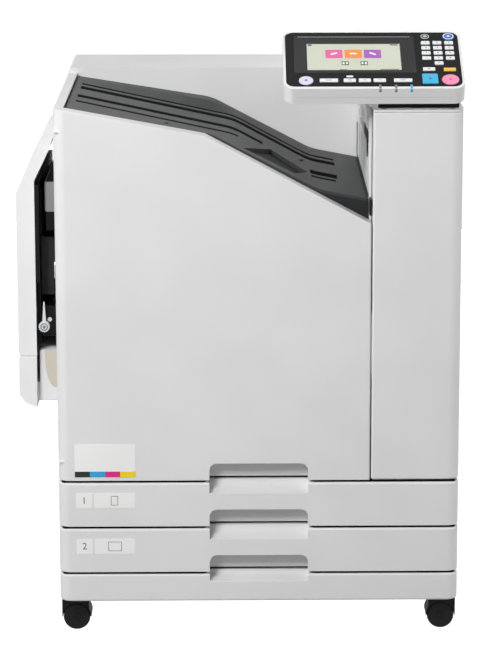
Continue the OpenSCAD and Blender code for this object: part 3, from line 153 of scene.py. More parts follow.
@dataclass(frozen=True)
class Finish:
    """A surface finish: a base colour that wavers a little, with roughness and fine relief.

    Grain is the relief's real feature size and waver the size of the slow change of colour.
    """

    name: str
    colour: str
    second: str
    roughness: float
    grain_mm: float = 0.9
    relief: float = 0.05
    waver_mm: float = 160.0
    metallic: float = 0.0
    specular: float = 0.5
    stretch: tuple[float, float, float] = (1.0, 1.0, 1.0)

    def start(self) -> tuple[bpy.types.Material, Tree, bpy.types.Node, Socket]:
        """Makes an empty material with its shader.

        Returns:
            The material, its tree, the shader and the socket of Object coordinates.
        """
        material = bpy.data.materials.new(self.name)
        material.use_nodes = True
        tree = material.node_tree
        tree.nodes.clear()
        settings = {"Metallic": self.metallic, "Specular IOR Level": self.specular}
        shader = add_node(tree, "ShaderNodeBsdfPrincipled", settings)
        add_node(tree, "ShaderNodeOutputMaterial", links={"Surface": shader.outputs[0]})
        place = add_node(tree, "ShaderNodeTexCoord").outputs["Object"]
        return material, tree, shader, place

    def grain(self, tree: Tree, place: Socket) -> Socket:
        """Adds the fine noise that stands for the moulded or rolled texture.

        Args:
            tree: The node tree.
            place: Object coordinates.

        Returns:
            The noise's socket.
        """
        scaled = add_node(tree, "ShaderNodeMapping", {"Scale": self.stretch}, {"Vector": place})
        settings = {"Scale": 1 / (self.grain_mm * MM), "Detail": GRAIN_DETAIL}
        links = {"Vector": scaled.outputs[0]}
        return add_node(tree, "ShaderNodeTexNoise", settings, links).outputs[0]

    def relief_to(self, tree: Tree, shader: bpy.types.Node, height: Socket) -> None:
        """Bumps the shader's normal with a height pattern.

        Args:
            tree: The node tree.
            shader: The shader.
            height: The pattern's socket.
        """
        settings = {"Strength": self.relief, "Distance": RELIEF_D * MM}
        bump = add_node(tree, "ShaderNodeBump", settings, {"Height": height})
        tree.links.new(bump.outputs[0], shader.inputs["Normal"])

    def shade(self, tree: Tree, place: Socket) -> Socket:
        """Adds the slow waver between the finish's two colours.

        Args:
            tree: The node tree.
            place: Object coordinates.

        Returns:
            The colour's socket.
        """
        settings = {"Scale": 1 / (self.waver_mm * MM), "Detail": WAVER_DETAIL}
        slow = add_node(tree, "ShaderNodeTexNoise", settings, {"Vector": place})
        return self.ramp(tree, slow.outputs[0], WAVER_RAMP)

    def ramp(
        self, tree: Tree, pattern: Socket, ends: Spot = (0.0, 1.0), mode: str = "LINEAR"
    ) -> Socket:
        """Runs a pattern through a ramp from the finish's first colour to its second.

        Args:
            tree: The node tree.
            pattern: The pattern's socket.
            ends: Where on the pattern the two colours stand.
            mode: How the ramp goes from one to the other.

        Returns:
            The colour's socket.
        """
        node = add_node(tree, "ShaderNodeValToRGB", links={"Fac": pattern})
        node.color_ramp.interpolation = mode
        for stop, at, colour in zip(node.color_ramp.elements, ends, (self.colour, self.second)):
            stop.position, stop.color = at, linear(colour)
        return node.outputs[0]

    def spread(
        self, tree: Tree, shader: bpy.types.Node, pattern: Socket, width: float = 0.06
    ) -> None:
        """Lets the roughness waver round its typical value with a pattern.

        Args:
            tree: The node tree.
            shader: The shader.
            pattern: The pattern's socket.
            width: How far the roughness wavers each way.
        """
        ends = {"To Min": self.roughness - width, "To Max": self.roughness + width}
        rough = add_node(tree, "ShaderNodeMapRange", ends, {"Value": pattern})
        tree.links.new(rough.outputs[0], shader.inputs["Roughness"])

    def build(self) -> bpy.types.Material:
        """Builds the plain form of the finish: wavering colour, fine relief, uneven gloss.

        Returns:
            The material.
        """
        material, tree, shader, place = self.start()
        grain = self.grain(tree, place)
        tree.links.new(self.shade(tree, place), shader.inputs["Base Color"])
        self.spread(tree, shader, grain)
        self.relief_to(tree, shader, grain)
        return material


@dataclass(frozen=True)
class RollerFinish(Finish):
    """Rubber sleeves on a steel shaft, told apart by the distance from the roller's axis."""

    axis_mm: Spot = (0.0, 0.0)
    shaft_mm: float = 4.2

    def build(self) -> bpy.types.Material:
        """Builds the two-part finish about an axis that runs front to back.

        Returns:
            The material.
        """
        material, tree, shader, place = self.start()
        grain = self.grain(tree, place)
        split = add_node(tree, "ShaderNodeSeparateXYZ", links={0: place}).outputs
        flat = add_node(tree, "ShaderNodeCombineXYZ", links={"X": split["X"], "Z": split["Z"]})
        settings = {"operation": "DISTANCE", 1: (self.axis_mm[0] * MM, 0.0, self.axis_mm[1] * MM)}
        reach = add_node(tree, "ShaderNodeVectorMath", settings, {0: flat.outputs[0]})
        settings = {"operation": "GREATER_THAN", 1: self.shaft_mm * MM}
        is_sleeve = add_node(tree, "ShaderNodeMath", settings, {0: reach.outputs["Value"]})
        mix = add_node(tree, "ShaderNodeMix", {"data_type": "RGBA"})
        tree.links.new(is_sleeve.outputs[0], mix.inputs["Factor"])
        mix.inputs[6].default_value = linear(self.second)
        mix.inputs[7].default_value = linear(self.colour)
        tree.links.new(mix.outputs[2], shader.inputs["Base Color"])
        settings = {"operation": "SUBTRACT", 0: 1.0}
        metal = add_node(tree, "ShaderNodeMath", settings, {1: is_sleeve.outputs[0]})
        tree.links.new(metal.outputs[0], shader.inputs["Metallic"])
        self.spread(tree, shader, grain)
        self.relief_to(tree, shader, grain)
        return material


@dataclass(frozen=True)
class SpangledSteel(Finish):
    """Zinc-plated sheet: pale crystals a few millimetres across that catch the light unevenly."""

    crystal_mm: float = 9.0
    crystal_gloss: float = 0.1

    def build(self) -> bpy.types.Material:
        """Builds the crystals as cells that change both colour and gloss.

        Returns:
            The material.
        """
        material, tree, shader, place = self.start()
        size = {"Scale": 1 / (self.crystal_mm * MM)}
        cells = add_node(tree, "ShaderNodeTexVoronoi", size, {"Vector": place})
        parts = add_node(tree, "ShaderNodeSeparateColor", links={0: cells.outputs["Color"]})
        tone = parts.outputs[0]
        tree.links.new(self.ramp(tree, tone), shader.inputs["Base Color"])
        self.spread(tree, shader, tone, self.crystal_gloss)
        self.relief_to(tree, shader, self.grain(tree, place))
        return material


@dataclass(frozen=True)
class CoatedBoard(Finish):
    """Green solder mask on glass laminate, with copper tracks that show through as paler lines."""

    track_mm: float = 5.0
    track_from: float = 0.72

    def build(self) -> bpy.types.Material:
        """Builds the tracks from square cells whose edges are picked out.

        Returns:
            The material.
        """
        material, tree, shader, place = self.start()
        settings = {"distance": "MANHATTAN", "feature": "F2", "Scale": 1 / (self.track_mm * MM)}
        tracks = add_node(tree, "ShaderNodeTexVoronoi", settings, {"Vector": place})
        colour = self.ramp(tree, tracks.outputs["Distance"], (0.0, self.track_from), "CONSTANT")
        tree.links.new(colour, shader.inputs["Base Color"])
        self.spread(tree, shader, self.grain(tree, place))
        return material


class Surface(Enum):
    """The finishes of this machine, each with the record's material slot it belongs to."""

    # Textured high-impact polystyrene, spark-eroded mould: a soft, even, slightly warm white.
    SHELL = (
        Finish("textured_polystyrene", "#DEDEDE", "#DADADA", 0.48, specular=0.3),
        "pale_moulding",
    )
    # The same plastic in the brighter, smoother white of the panel's case and the feed covers.
    PALE = (Finish("bright_polystyrene", "#E6E6E6", "#E2E2E2", 0.45, specular=0.3), "pale_moulding")
    # The same plastic in the fronts' tone, a little smoother, so that its rims catch the light.
    FRONT = (Finish("front_polystyrene", "#E0E0E0", "#DCDCDC", 0.44, specular=0.3), "pale_moulding")
    # Dark grey mass-coloured ABS: fine matt grain that greys where light grazes it.
    TRAY = (
        Finish("grained_abs", "#414242", "#3B3C3C", 0.5, 0.7, 0.12, specular=0.15),
        "dark_moulding",
    )
    # Charcoal ABS of small inner mouldings: near black and matt. It also darkens the strip along
    # the tray's front.
    DEEP = (
        Finish("charcoal_abs", "#28292B", "#222325", 0.55, 0.7, 0.1, specular=0.2),
        "black_moulding",
    )
    # Black glass-filled nylon with a faint fleck, dull and slightly uneven.
    # The same black also paints shade: in the tray's grooves and pocket, under the panel's hinge
    # and in the joints of the column's exit wall.
    BLACK = (
        Finish("glass_filled_nylon", "#101011", "#161617", 0.6, 0.6, 0.15, specular=0.12),
        "black_moulding",
    )
    # Natural acetal of levers and brackets: waxy, slightly yellow.
    ACETAL = (Finish("natural_acetal", "#C9C2B4", "#C1BAAC", 0.4, 0.9, 0.05), "pale_moulding")
    # Mid-grey ABS of the parts set into the black recess: plain and matt.
    # The same grey also paints the highlight along the display border's upper edge.
    GREY = (
        Finish("mid_grey_abs", "#828385", "#7A7B7D", 0.5, 0.7, 0.1, specular=0.3),
        "dark_moulding",
    )
    # Zinc-plated sheet steel with visible crystals.
    ZINC = (
        SpangledSteel("zinc_plated_sheet", "#A9AEB2", "#C2C6C9", 0.38, metallic=1.0),
        "zinc_steel",
    )
    # Drawn bright steel, streaked along its length.
    BRIGHT = (
        Finish(
            "drawn_steel",
            "#C9CCCF",
            "#B8BCC0",
            roughness=0.28,
            grain_mm=0.5,
            relief=0.1,
            metallic=1.0,
            stretch=(1.0, 0.05, 1.0),
        ),
        "zinc_steel",
    )
    # Polyurethane tread: dull, slightly soft-looking black.
    # The same black also paints the shade in the gaps over the low fronts.
    TREAD = (
        Finish("polyurethane_tread", "#131314", "#1A1A1C", 0.66, 0.8, 0.2, specular=0.15),
        "rubber",
    )
    # Hard-coated polycarbonate overlay: black with a soft sheen and a slight orange peel.
    OVERLAY = (
        Finish("hardcoat_polycarbonate", "#0F0F0F", "#121212", 0.45, 2.5, 0.03, specular=0.08),
        "panel_black",
    )
    # Screen-printed border round the display, a shade lighter and less glossy.
    BEZEL = (
        Finish("printed_border", "#232324", "#272728", 0.5, 1.5, 0.04, specular=0.15),
        "panel_black",
    )
    # Back-lit liquid crystal seen through glass: pale grey-green, smooth and fairly glossy.
    DISPLAY = (
        Finish("backlit_glass", "#CDD1BE", "#C6CAB7", 0.2, 3.0, 0.0, specular=0.3),
        "display_glass",
    )
    # Moulded ABS key caps: clean flat colours with a soft gloss on their rounded rims.
    KEY = (Finish("key_cap_abs", "#E9EAEC", "#E2E3E6", 0.35, 0.8, 0.04), "key_white")
    WAKE_KEY = (Finish("lavender_key_cap", "#DAD7EC", "#D2CFE6", 0.3, 0.8, 0.04), "key_white")
    RESET_KEY = (Finish("amber_key_cap", "#EDBE3C", "#E6B636", 0.35, 0.8, 0.04), "key_white")
    ID_KEY = (Finish("blue_key_cap", "#2464BE", "#1F5BB0", 0.3, 0.8, 0.04), "key_white")
    START_KEY = (Finish("cyan_key_cap", "#10B0DC", "#0CA8D6", 0.3, 0.8, 0.04), "key_cyan")
    STOP_KEY = (Finish("pink_key_cap", "#F48CB4", "#EE84AE", 0.3, 0.8, 0.04), "key_pink")
    # Screen-printed ink on caps and labels: flat, and duller than what it is printed on.
    LEGEND = (Finish("dark_print", "#3A3B3D", "#424345", 0.5, 0.5, 0.02), "panel_black")
    PALE_LEGEND = (Finish("pale_print", "#B9BBBE", "#C2C4C7", 0.5, 0.5, 0.02), "key_white")
    # The pale print also greys the ribs on the column's exit wall, as painted shade.
    # Polyester label stock: very smooth white film.
    LABEL = (Finish("polyester_label", "#EFEFEE", "#EAEAE9", 0.32, 1.2, 0.02), "pale_moulding")
    LABEL_GREY = (Finish("grey_label", "#D9DADB", "#D3D4D5", 0.35, 1.2, 0.02), "pale_moulding")
    # Process inks on that film, then the display's own colours: strong and even.
    CYAN = (Finish("cyan_ink", "#12A0D7", "#1398CD", 0.4, 0.6, 0.02), "key_cyan")
    MAGENTA = (Finish("magenta_ink", "#D8187F", "#CF1678", 0.4, 0.6, 0.02), "key_pink")
    YELLOW = (Finish("yellow_ink", "#F2D21C", "#EACB18", 0.4, 0.6, 0.02), "key_white")
    PINK = (Finish("display_pink", "#E0559A", "#D84F93", 0.25, 1.0, 0.0), "key_pink")
    ORANGE = (Finish("display_orange", "#EE8A22", "#E5831F", 0.25, 1.0, 0.0), "display_glass")
    PURPLE = (Finish("display_purple", "#A048B8", "#9842B0", 0.25, 1.0, 0.0), "display_glass")
    # Solder mask on a circuit board: deep green, with the tracks showing through.
    BOARD = (CoatedBoard("solder_mask", "#1E5B37", "#2F7A4C", 0.35), "board_green")
    # Blow-moulded PET of the ink casings: dark and fairly glossy.
    CASING = (Finish("ink_casing_pet", "#2A2B2D", "#303134", 0.3, 1.0, 0.04), "ink_black")

    @property
    def slot(self) -> str:
        """The record's material slot."""
        return self.value[1]

    @property
    def material(self) -> bpy.types.Material:
        """The finish's material, built once."""
        return bpy.data.materials.get(self.value[0].name) or self.value[0].build()


@dataclass(frozen=True)
class Bench:
    """Turns the machine's own millimetres into the frame's metres."""

    mid_x: float
    front_y: float

    @classmethod
    def from_frame(cls) -> Bench:
        """Reads mid width from the rear housing and the front face from the base's front."""
        low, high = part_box("rear_housing")
        return cls((low.x + high.x) / 2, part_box("base_skirt")[0].y)

    def point(self, x: float, y: float, z: float) -> Vector:
        """A machine point, in millimetres, as a frame point."""
        return Vector((self.mid_x + x * MM, self.front_y + y * MM, z * MM))

    def plan(self, corners: Iterable[Spot]) -> list[Vector]:
        """Places across and to the back, in millimetres, as frame points on the floor."""
        return [self.point(x, y, 0.0) for x, y in corners]

    def seat(self, x: float, y: float, z: float, turn: Matrix | None = None) -> Matrix:
        """A placement at a machine point, turned if asked."""
        return Matrix.Translation(self.point(x, y, z)) @ (turn or Matrix.Identity(4))


def turned(degrees: float, axis: str) -> Matrix:
    """A turn about one of the axes."""
    return Matrix.Rotation(math.radians(degrees), 4, axis)


def raised(up: float) -> Matrix:
    """A shift along Z, in millimetres."""
    return Matrix.Translation((0, 0, up * MM))


UP = Vector((0, 0, 1))
FACING_FRONT = turned(90, "X")
FACING_BACK = turned(180, "Z") @ FACING_FRONT
FACING_LEFT = turned(-90, "Z") @ FACING_FRONT
FACING_RIGHT = turned(90, "Z") @ FACING_FRONT


def slab(
    width: float, length: float, height: float, corner: float = 0.0, edge: float = 0.0
) -> Mesh:
    """A plate that stands on the XY plane, its middle at the origin.

    Args:
        width: Size along X, in millimetres.
        length: Size along Y.
        height: Size along Z.
        corner: Radius of the upright corners.
        edge: Radius of the upper rim.

    Returns:
        The plate as a bmesh, in metres.
    """
    bm = bmesh.new()
    bmesh.ops.create_cube(bm, size=1.0)
    bmesh.ops.scale(bm, vec=Vector((width, length, height)) * MM, verts=bm.verts)
    bmesh.ops.translate(bm, vec=(0, 0, height * MM / 2), verts=bm.verts)
    if corner > 0:
        round_edges(bm, corner, CORNER_FACETS, upright(height))
    if edge > 0:
        round_edges(bm, edge, RIM_FACETS, above(height))
    return bm


def disc(radius: float, height: float, edge: float = 0.0, sides: int = 48) -> Mesh:
    """A round plate that stands on the XY plane, its middle at the origin.

    Args:
        radius: Its radius, in millimetres.
        height: Its height.
        edge: Radius of the upper rim.
        sides: Number of facets round it.

    Returns:
        The plate as a bmesh, in metres.
    """
    bm = bmesh.new()
    size = {"radius1": radius * MM, "radius2": radius * MM, "depth": height * MM}
    bmesh.ops.create_cone(bm, cap_ends=True, segments=sides, **size)
    bmesh.ops.translate(bm, vec=(0, 0, height * MM / 2), verts=bm.verts)
    if edge > 0:
        round_edges(bm, edge, RIM_FACETS, above(height))
    return bm


def rectangle(left: float, low: float, right: float, high: float) -> list[Spot]:
    """The corners of a rectangle, in order."""
    return [(left, low), (right, low), (right, high), (left, high)]


def upright(height: float) -> EdgeTest:
    """A test for the upright edges of a plate, its height in millimetres."""
    half = height * MM / 2
    return lambda edge: abs(edge.verts[0].co.z - edge.verts[1].co.z) > half


def above(height: float) -> EdgeTest:
    """A test for the edges of a plate's upper rim, its height in millimetres."""
    top = height * MM - SAME_POINT
    return lambda edge: all(v.co.z > top for v in edge.verts)


def round_edges(bm: Mesh, radius: float, segments: int, test: EdgeTest) -> None:
    """Rounds the edges that pass a test.

    Args:
        bm: The mesh.
        radius: The rounding, in millimetres.
        segments: Facets across it.
        test: Says which edges are rounded.
    """
    chosen = [e for e in bm.edges if test(e)]
    if chosen:
        bmesh.ops.bevel(
            bm,
            geom=chosen,
            offset=radius * MM,
            offset_type="OFFSET",
            segments=segments,
            profile=0.5,
            affect="EDGES",
            clamp_overlap=True,
            material=-1,
        )


def place(bm: Mesh, matrix: Matrix) -> Mesh:
    """Moves a mesh to its place and gives it back."""
    bm.transform(matrix)
    return bm


def cut(bm: Mesh, at: Vector, normal: Vector, clear: bool = False) -> None:
    """Cuts a mesh along a plane.

    Args:
        bm: The mesh.
        at: A point of the plane.
        normal: The way that the plane faces.
        clear: True to drop all that lies behind it.
    """
    whole = bm.verts[:] + bm.edges[:] + bm.faces[:]
    plane = {"plane_co": at, "plane_no": normal}
    bmesh.ops.bisect_plane(bm, geom=whole, dist=CUT_SNAP, clear_inner=clear, **plane)


def grow(bm: Mesh, faces: list[Face], move: Vector) -> None:
    """Extrudes faces and moves the new ones, and leaves the old ones where they are."""
    grown = bmesh.ops.extrude_face_region(bm, geom=faces)["geom"]
    bmesh.ops.translate(bm, vec=move, verts=[v for v in grown if isinstance(v, Vert)])


def thicken(bm: Mesh, move: Vector) -> None:
    """Makes a sheet a closed body, its second side moved off by a vector."""
    grow(bm, bm.faces[:], move)
    bmesh.ops.recalc_face_normals(bm, faces=bm.faces)


def upright_sheet(start: Vector, outline: Iterable[Spot]) -> Mesh:
    """A sheet that faces the front.

    Args:
        start: The point that the outline is measured from.
        outline: Its corners, each to the right and up, in millimetres.

    Returns:
        The sheet, in place.
    """
    bm = bmesh.new()
    bm.faces.new([bm.verts.new(start + Vector((x, 0.0, z)) * MM) for x, z in outline])
    return bm


def inward(points: list[Vector], up: Vector) -> list[tuple[Vector, Vector]]:
    """The sides of a convex area, each as its first corner and a normal that points inwards.

    Args:
        points: The area's corners, in order.
        up: The direction that the area faces.

    Returns:
        A corner and a normal for each side.
    """
    middle = sum(points, Vector()) / len(points)
    sides = []
    for a, b in zip(points, points[1:] + points[:1]):
        normal = (b - a).cross(up).normalized()
        if normal.dot(middle - a) < 0:
            normal.negate()
        sides.append((a, normal))
    return sides


def joined(parts: Iterable[Mesh]) -> Mesh:
    """Joins several meshes into one and frees them.

    Args:
        parts: The meshes, already in place.

    Returns:
        One bmesh that holds them all.
    """
    whole = bmesh.new()
    for part in parts:
        carrier = bpy.data.meshes.new("carrier")
        part.to_mesh(carrier)
        part.free()
        whole.from_mesh(carrier)
        bpy.data.meshes.remove(carrier)
    return whole


def legend(text: str, height: float) -> Mesh:
    """A generic digit or sign as a thin solid that stands on the XY plane.

    Args:
        text: The sign.
        height: Its height, in millimetres.

    Returns:
        The sign as a bmesh, in metres, its middle at the origin.
    """
    curve = bpy.data.curves.new("legend", "FONT")
    # A text is thickened both ways, so it gets half the print's thickness.
    curve.body, curve.size, curve.extrude = text, FONT_SIZE * height * MM, PRINT_T * MM / 2
    curve.align_x, curve.align_y, curve.resolution_u = "CENTER", "CENTER", FONT_STEPS
    carrier = bpy.data.objects.new("legend", curve)
    bm = bmesh.new()
    bm.from_mesh(carrier.to_mesh())
    carrier.to_mesh_clear()
    bpy.data.objects.remove(carrier)
    bpy.data.curves.remove(curve)
    bmesh.ops.remove_doubles(bm, verts=bm.verts, dist=SAME_POINT)
    bmesh.ops.recalc_face_normals(bm, faces=bm.faces)
    return place(bm, raised(PRINT_T / 2))


def piece(
    name: str, bm: Mesh, surface: Surface, body: str, crease: float = 32.0
) -> bpy.types.Object:
    """Makes a finished piece that rides on a body.

    Args:
        name: The piece's name.
        bm: Its mesh, in place. It is freed.
        surface: Its finish.
        body: The body that it moves with.
        crease: The angle above which an edge stays sharp, in degrees.

    Returns:
        The new object.
    """
    mesh = bpy.data.meshes.new(name)
    bm.to_mesh(mesh)
    bm.free()
    mesh.shade_smooth()
    mesh.set_sharp_from_angle(angle=math.radians(crease))
    mesh.materials.append(surface.material)
    made = bpy.data.objects.new(name, mesh)
    bpy.context.scene.collection.objects.link(made)
    made.modifiers.new("shading", "WEIGHTED_NORMAL").keep_sharp = True
    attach(made, body)
    surface.slot
    log.info("%s on %s: %d faces", name, body, len(mesh.polygons))
    return made


@dataclass
class Stock:
    """The frame's nodes and bodies, and the ways in which a node is dressed."""

    nodes: dict[str, bpy.types.Object]
    body_of: dict[str, str]
    bench: Bench

    @classmethod
    def from_frame(cls, frame: dict[str, object]) -> Stock:
        """Sorts the loaded frame by node and body.


        Returns:
            The stock.
        """
        groups = frame["record"]["behaviour"]["bodies"]
        body_of = {name: body for body, names in groups.items() for name in names}
        return cls(frame["nodes"], body_of, Bench.from_frame())

    def paint(self, surface: Surface, *names: str) -> None:
        """Gives nodes that keep their mesh a finish.

        Args:
            surface: The finish.
            names: The nodes.
        """
        for name in names:
            node = self.nodes[name]
            node.data.materials.clear()
            node.data.materials.append(surface.material)
            surface.slot
            log.info("%s keeps its solid, in %s", name, surface.name)

    def copy(self, name: str) -> Mesh:
        """A merged copy of a node's mesh with its flat faces made whole.

        Args:
            name: The node.

        Returns:
            The copy as a bmesh.
        """
        bm = bmesh.new()
        bm.from_mesh(self.nodes[name].data)
        bmesh.ops.remove_doubles(bm, verts=bm.verts, dist=WELD)
        flat = {"angle_limit": math.radians(FLAT_ANGLE), "use_dissolve_boundaries": False}
        bmesh.ops.dissolve_limit(bm, verts=bm.verts, edges=bm.edges, **flat)
        bm.normal_update()
        return bm

    def soften(
        self,
        name: str,
        surface: Surface,
        rims: Iterable[tuple[float, int, EdgeTest]],
        bm: Mesh | None = None,
    ) -> bpy.types.Object:
        """Replaces a node by a copy with rounded rims.

        Args:
            name: The node.
            surface: Its finish.
            rims: Passes of rounding, each a radius in millimetres, a number of facets and a test.
            bm: The copy, where its shape was changed first.

        Returns:
            The new piece.
        """
        bm = bm or self.copy(name)
        for radius, segments, test in rims:
            round_edges(bm, radius, segments, test)
            bm.normal_update()
        made = piece(f"{name}_moulding", bm, surface, self.body_of[name])
        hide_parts(name)
        return made


def sharp(least: float = 12.0, angle: float = 50.0) -> EdgeTest:
    """A test for outward edges that are long and sharp.

    Args:
        least: The shortest edge that passes, in millimetres.
        angle: The smallest angle that passes, in degrees.

    Returns:
        The test.
    """

    def test(edge: Edge) -> bool:
        """Says whether an edge is long and sharp.

        Args:
            edge: The edge.

        Returns:
            True where it is.
        """
        if len(edge.link_faces) != 2 or not edge.is_convex or edge.calc_length() < least * MM:
            return False
        return edge.calc_face_angle(0.0) > math.radians(angle)

    return test


def rim(up: bool, back: float) -> EdgeTest:
    """A test for the upper or lower rim of a front panel.

    Args:
        up: True for the upper rim.
        back: The panel's back plane, in frame metres, whose edges stay sharp.

    Returns:
        The test.
    """
    off_back, level = ahead_of(back), UPPER_LEVEL if up else LOWER_LEVEL

    def test(edge: Edge) -> bool:
        """Says whether an edge lies between a level face and an upright one.

        Args:
            edge: The edge.

        Returns:
            True where it does.
        """
        if len(edge.link_faces) != 2 or not edge.is_convex or not off_back(edge):
            return False
        heights = sorted(f.normal.z if up else -f.normal.z for f in edge.link_faces)
        return heights[1] > level and abs(heights[0]) < UPRIGHT_MOST

    return test


def both(*tests: EdgeTest) -> EdgeTest:
    """A test that passes where all of the given ones pass."""
    return lambda edge: all(test(edge) for test in tests)


def ahead_of(back: float) -> EdgeTest:
    """A test for edges that don't lie on a panel's back plane, given in frame metres."""
    return lambda edge: min(v.co.y for v in edge.verts) < back - MM / 2


def press(bm: Mesh, corners: list[Vector], up: Vector, depth: float) -> None:
    """Presses a convex area of a mesh down, with upright walls round it.

    Args:
        bm: The mesh, in place.
        corners: The area's corners, in order.
        up: The direction that the area faces.
        depth: How far it goes down, in millimetres.
    """
    walls = inward(corners, up)
    for a, normal in walls:
        cut(bm, a, normal)

    def within(face: Face) -> bool:
        """Says whether a face looks up and lies inside all the walls.

        Args:
            face: The face.

        Returns:
            True where it does.
        """
        middle = face.calc_center_median()
        if face.normal.dot(up) <= PRESSED_LEAST:
            return False
        return all((middle - a).dot(normal) > 0 for a, normal in walls)

    inside = list(filter(within, bm.faces))
    grow(bm, inside, -up * depth * MM)
    bmesh.ops.delete(bm, geom=inside, context="FACES")
    bm.normal_update()


@dataclass
class FrontPanels:
    """The swing door, the column and the three low fronts, with their labels and badge.

    Places run across and up the machine's front, and label_up is measured from a front's foot.
    The catch strip is its depth, thickness, corner radius and rim radius.
    """

    stock: Stock
    rim_r: float = 4.0
    foot_r: float = 4.2
    lip_r: float = 1.8
    plate_t: float = 0.4
    plate_r: float = 1.2
    badge_x: Spot = (-338.7, -227.4)
    badge_z: Spot = (307.2, 369.6)
    badge_strip_h: float = 10.6
    label_x: Spot = (-337.4, -307.1)
    wide_label_x: Spot = (-303.7, -228.8)
    label_up: Spot = (35.4, 64.4)
    number_h: float = 13.0
    sheets: tuple[Spot, ...] = ((12.0, 17.0), (24.0, 17.0))
    outline_w: float = 0.9
    catch_z: Spot = (497.0, 615.0)
    catch_in: Spot = (2.0, 16.0)
    catch: tuple[float, ...] = (22.0, 1.2, 3.0, 0.4)
    # Black strips on the low fronts' upper edges: painted shade in the gaps above them.
    buffer_x: Spot = (97.0, 364.0)
    buffer_y: Spot = (4.6, 22.0)
    buffer_t: float = 0.8
    buffer_r: float = 8.0

    def front(self, name: str) -> bpy.types.Object:
        """Rounds the upper rim of a front generously and its other edges a little.

        Args:
            name: The front.

        Returns:
            The new piece.
        """
        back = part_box(name)[1].y
        rims = [
            (self.rim_r, 5, rim(True, back)),
            (self.foot_r, 4, rim(False, back)),
            (self.lip_r, 2, both(sharp(3.0), ahead_of(back))),
        ]
        return self.stock.soften(name, Surface.FRONT, rims)

    def at(self, x: float, z: float, out: float = 0.0) -> Matrix:
        """A placement that faces the front, so far before the panels, in machine millimetres."""
        return self.stock.bench.seat(x, -out, z, FACING_FRONT)

    def plate(
        self, name: str, body: str, surface: Surface, xs: Spot, zs: Spot, out: float, corner: float
    ) -> None:
        """A thin plate stuck on a front.

        Args:
            name: The piece's name.
            body: The body that it moves with.
            surface: Its finish.
            xs: Its left and right ends, in machine millimetres.
            zs: Its lower and upper ends.
            out: How far in front of the panel it starts.
            corner: Radius of its corners.
        """
        bm = slab(xs[1] - xs[0], zs[1] - zs[0], self.plate_t, corner, self.plate_t / 3)
        piece(name, place(bm, self.at(sum(xs) / 2, sum(zs) / 2, out)), surface, body)

    def sheet_sign(self, x: float, z: float, width: float, height: float) -> Mesh:
        """A generic pictogram of a sheet of paper on a label: an outline of four bars.

        Args:
            x: The place across of its middle, in machine millimetres.
            z: Its middle's height.
            width: The sheet's width.
            height: The sheet's height.

        Returns:
            The sign, in place.
        """
        bar, out = self.outline_w, self.plate_t
        parts = []
        for side in (-1, 1):
            parts.append(place(slab(bar, height, PRINT_T), self.at(x + side * width / 2, z, out)))
            parts.append(place(slab(width, bar, PRINT_T), self.at(x, z + side * height / 2, out)))
        return joined(parts)

    def badge(self) -> None:
        """The bare badge plate at the door's foot with its strip of the four process colours."""
        door, label, (xs, zs) = "front_door", Surface.LABEL, (self.badge_x, self.badge_z)
        self.plate("badge_plate", door, label, xs, zs, 0.0, self.plate_r)
        inks = (Surface.DEEP, Surface.CYAN, Surface.MAGENTA, Surface.YELLOW)
        left, width = xs[0], (xs[1] - xs[0]) / len(inks)
        zs = (zs[0], zs[0] + self.badge_strip_h)
        for i, ink in enumerate(inks):
            xs = (left + i * width, left + (i + 1) * width)
            self.plate(f"badge_strip_{i + 1}", door, ink, xs, zs, self.plate_t, 0.0)

    def cassette_labels(self, number: int, bottom: float) -> None:
        """The two labels of a cassette: its number, and a plain sheet pictogram.

        Args:
            number: The cassette's number.
            bottom: The height of its front's foot, in millimetres.
        """
        body = f"cassette_{number}"
        zs = (bottom + self.label_up[0], bottom + self.label_up[1])
        middle = sum(zs) / 2
        for kind, xs in (("number", self.label_x), ("size", self.wide_label_x)):
            self.plate(f"{body}_{kind}_label", body, Surface.LABEL, xs, zs, 0.0, self.plate_r)
        seat = self.at(sum(self.label_x) / 2, middle, self.plate_t)
        digit = place(legend(str(number), self.number_h), seat)
        piece(f"{body}_number", digit, Surface.LEGEND, body)
        sheet = self.sheet_sign(sum(self.wide_label_x) / 2, middle, *self.sheets[number - 1])
        piece(f"{body}_sheet_sign", sheet, Surface.LEGEND, body)

    def buffers(self, name: str, body: str) -> None:
        """Black strips on a front's upper edge, beside its scoop, that paint the shade in the gap
        above it.

        Args:
            name: The front.
            body: The body that it belongs to.
        """
        bench, top = self.stock.bench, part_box(name)[1].z / MM
        (y0, y1), (x0, x1) = self.buffer_y, self.buffer_x
        strips = []
        for side in (-1, 1):
            strip = slab(x1 - x0, y1 - y0, self.buffer_t, self.buffer_r)
            strips.append(place(strip, bench.seat(side * (x0 + x1) / 2, (y0 + y1) / 2, top)))
        piece(f"{name}_buffers", joined(strips), Surface.TREAD, body)

    def build(self) -> None:
        """Builds all the fronts."""
        low_fronts = ("cassette_1_front", "cassette_2_front", "base_skirt")
        for name in ("front_door", "tower_cover", *low_fronts):
            self.front(name)
        for name in low_fronts:
            self.buffers(name, self.stock.body_of[name])
        self.badge()
        for number in (1, 2):
            low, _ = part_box(f"cassette_{number}_front")
            self.cassette_labels(number, low.z / MM)
        seam_x = (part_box("front_door")[1].x - self.stock.bench.mid_x) / MM
        (across, back), (depth, *rest) = self.catch_in, self.catch
        seat = self.stock.bench.seat(seam_x + across, back, sum(self.catch_z) / 2, FACING_LEFT)
        bm = slab(depth, self.catch_z[1] - self.catch_z[0], *rest)
        piece("door_catch_strip", place(bm, seat), Surface.LABEL_GREY, "root")


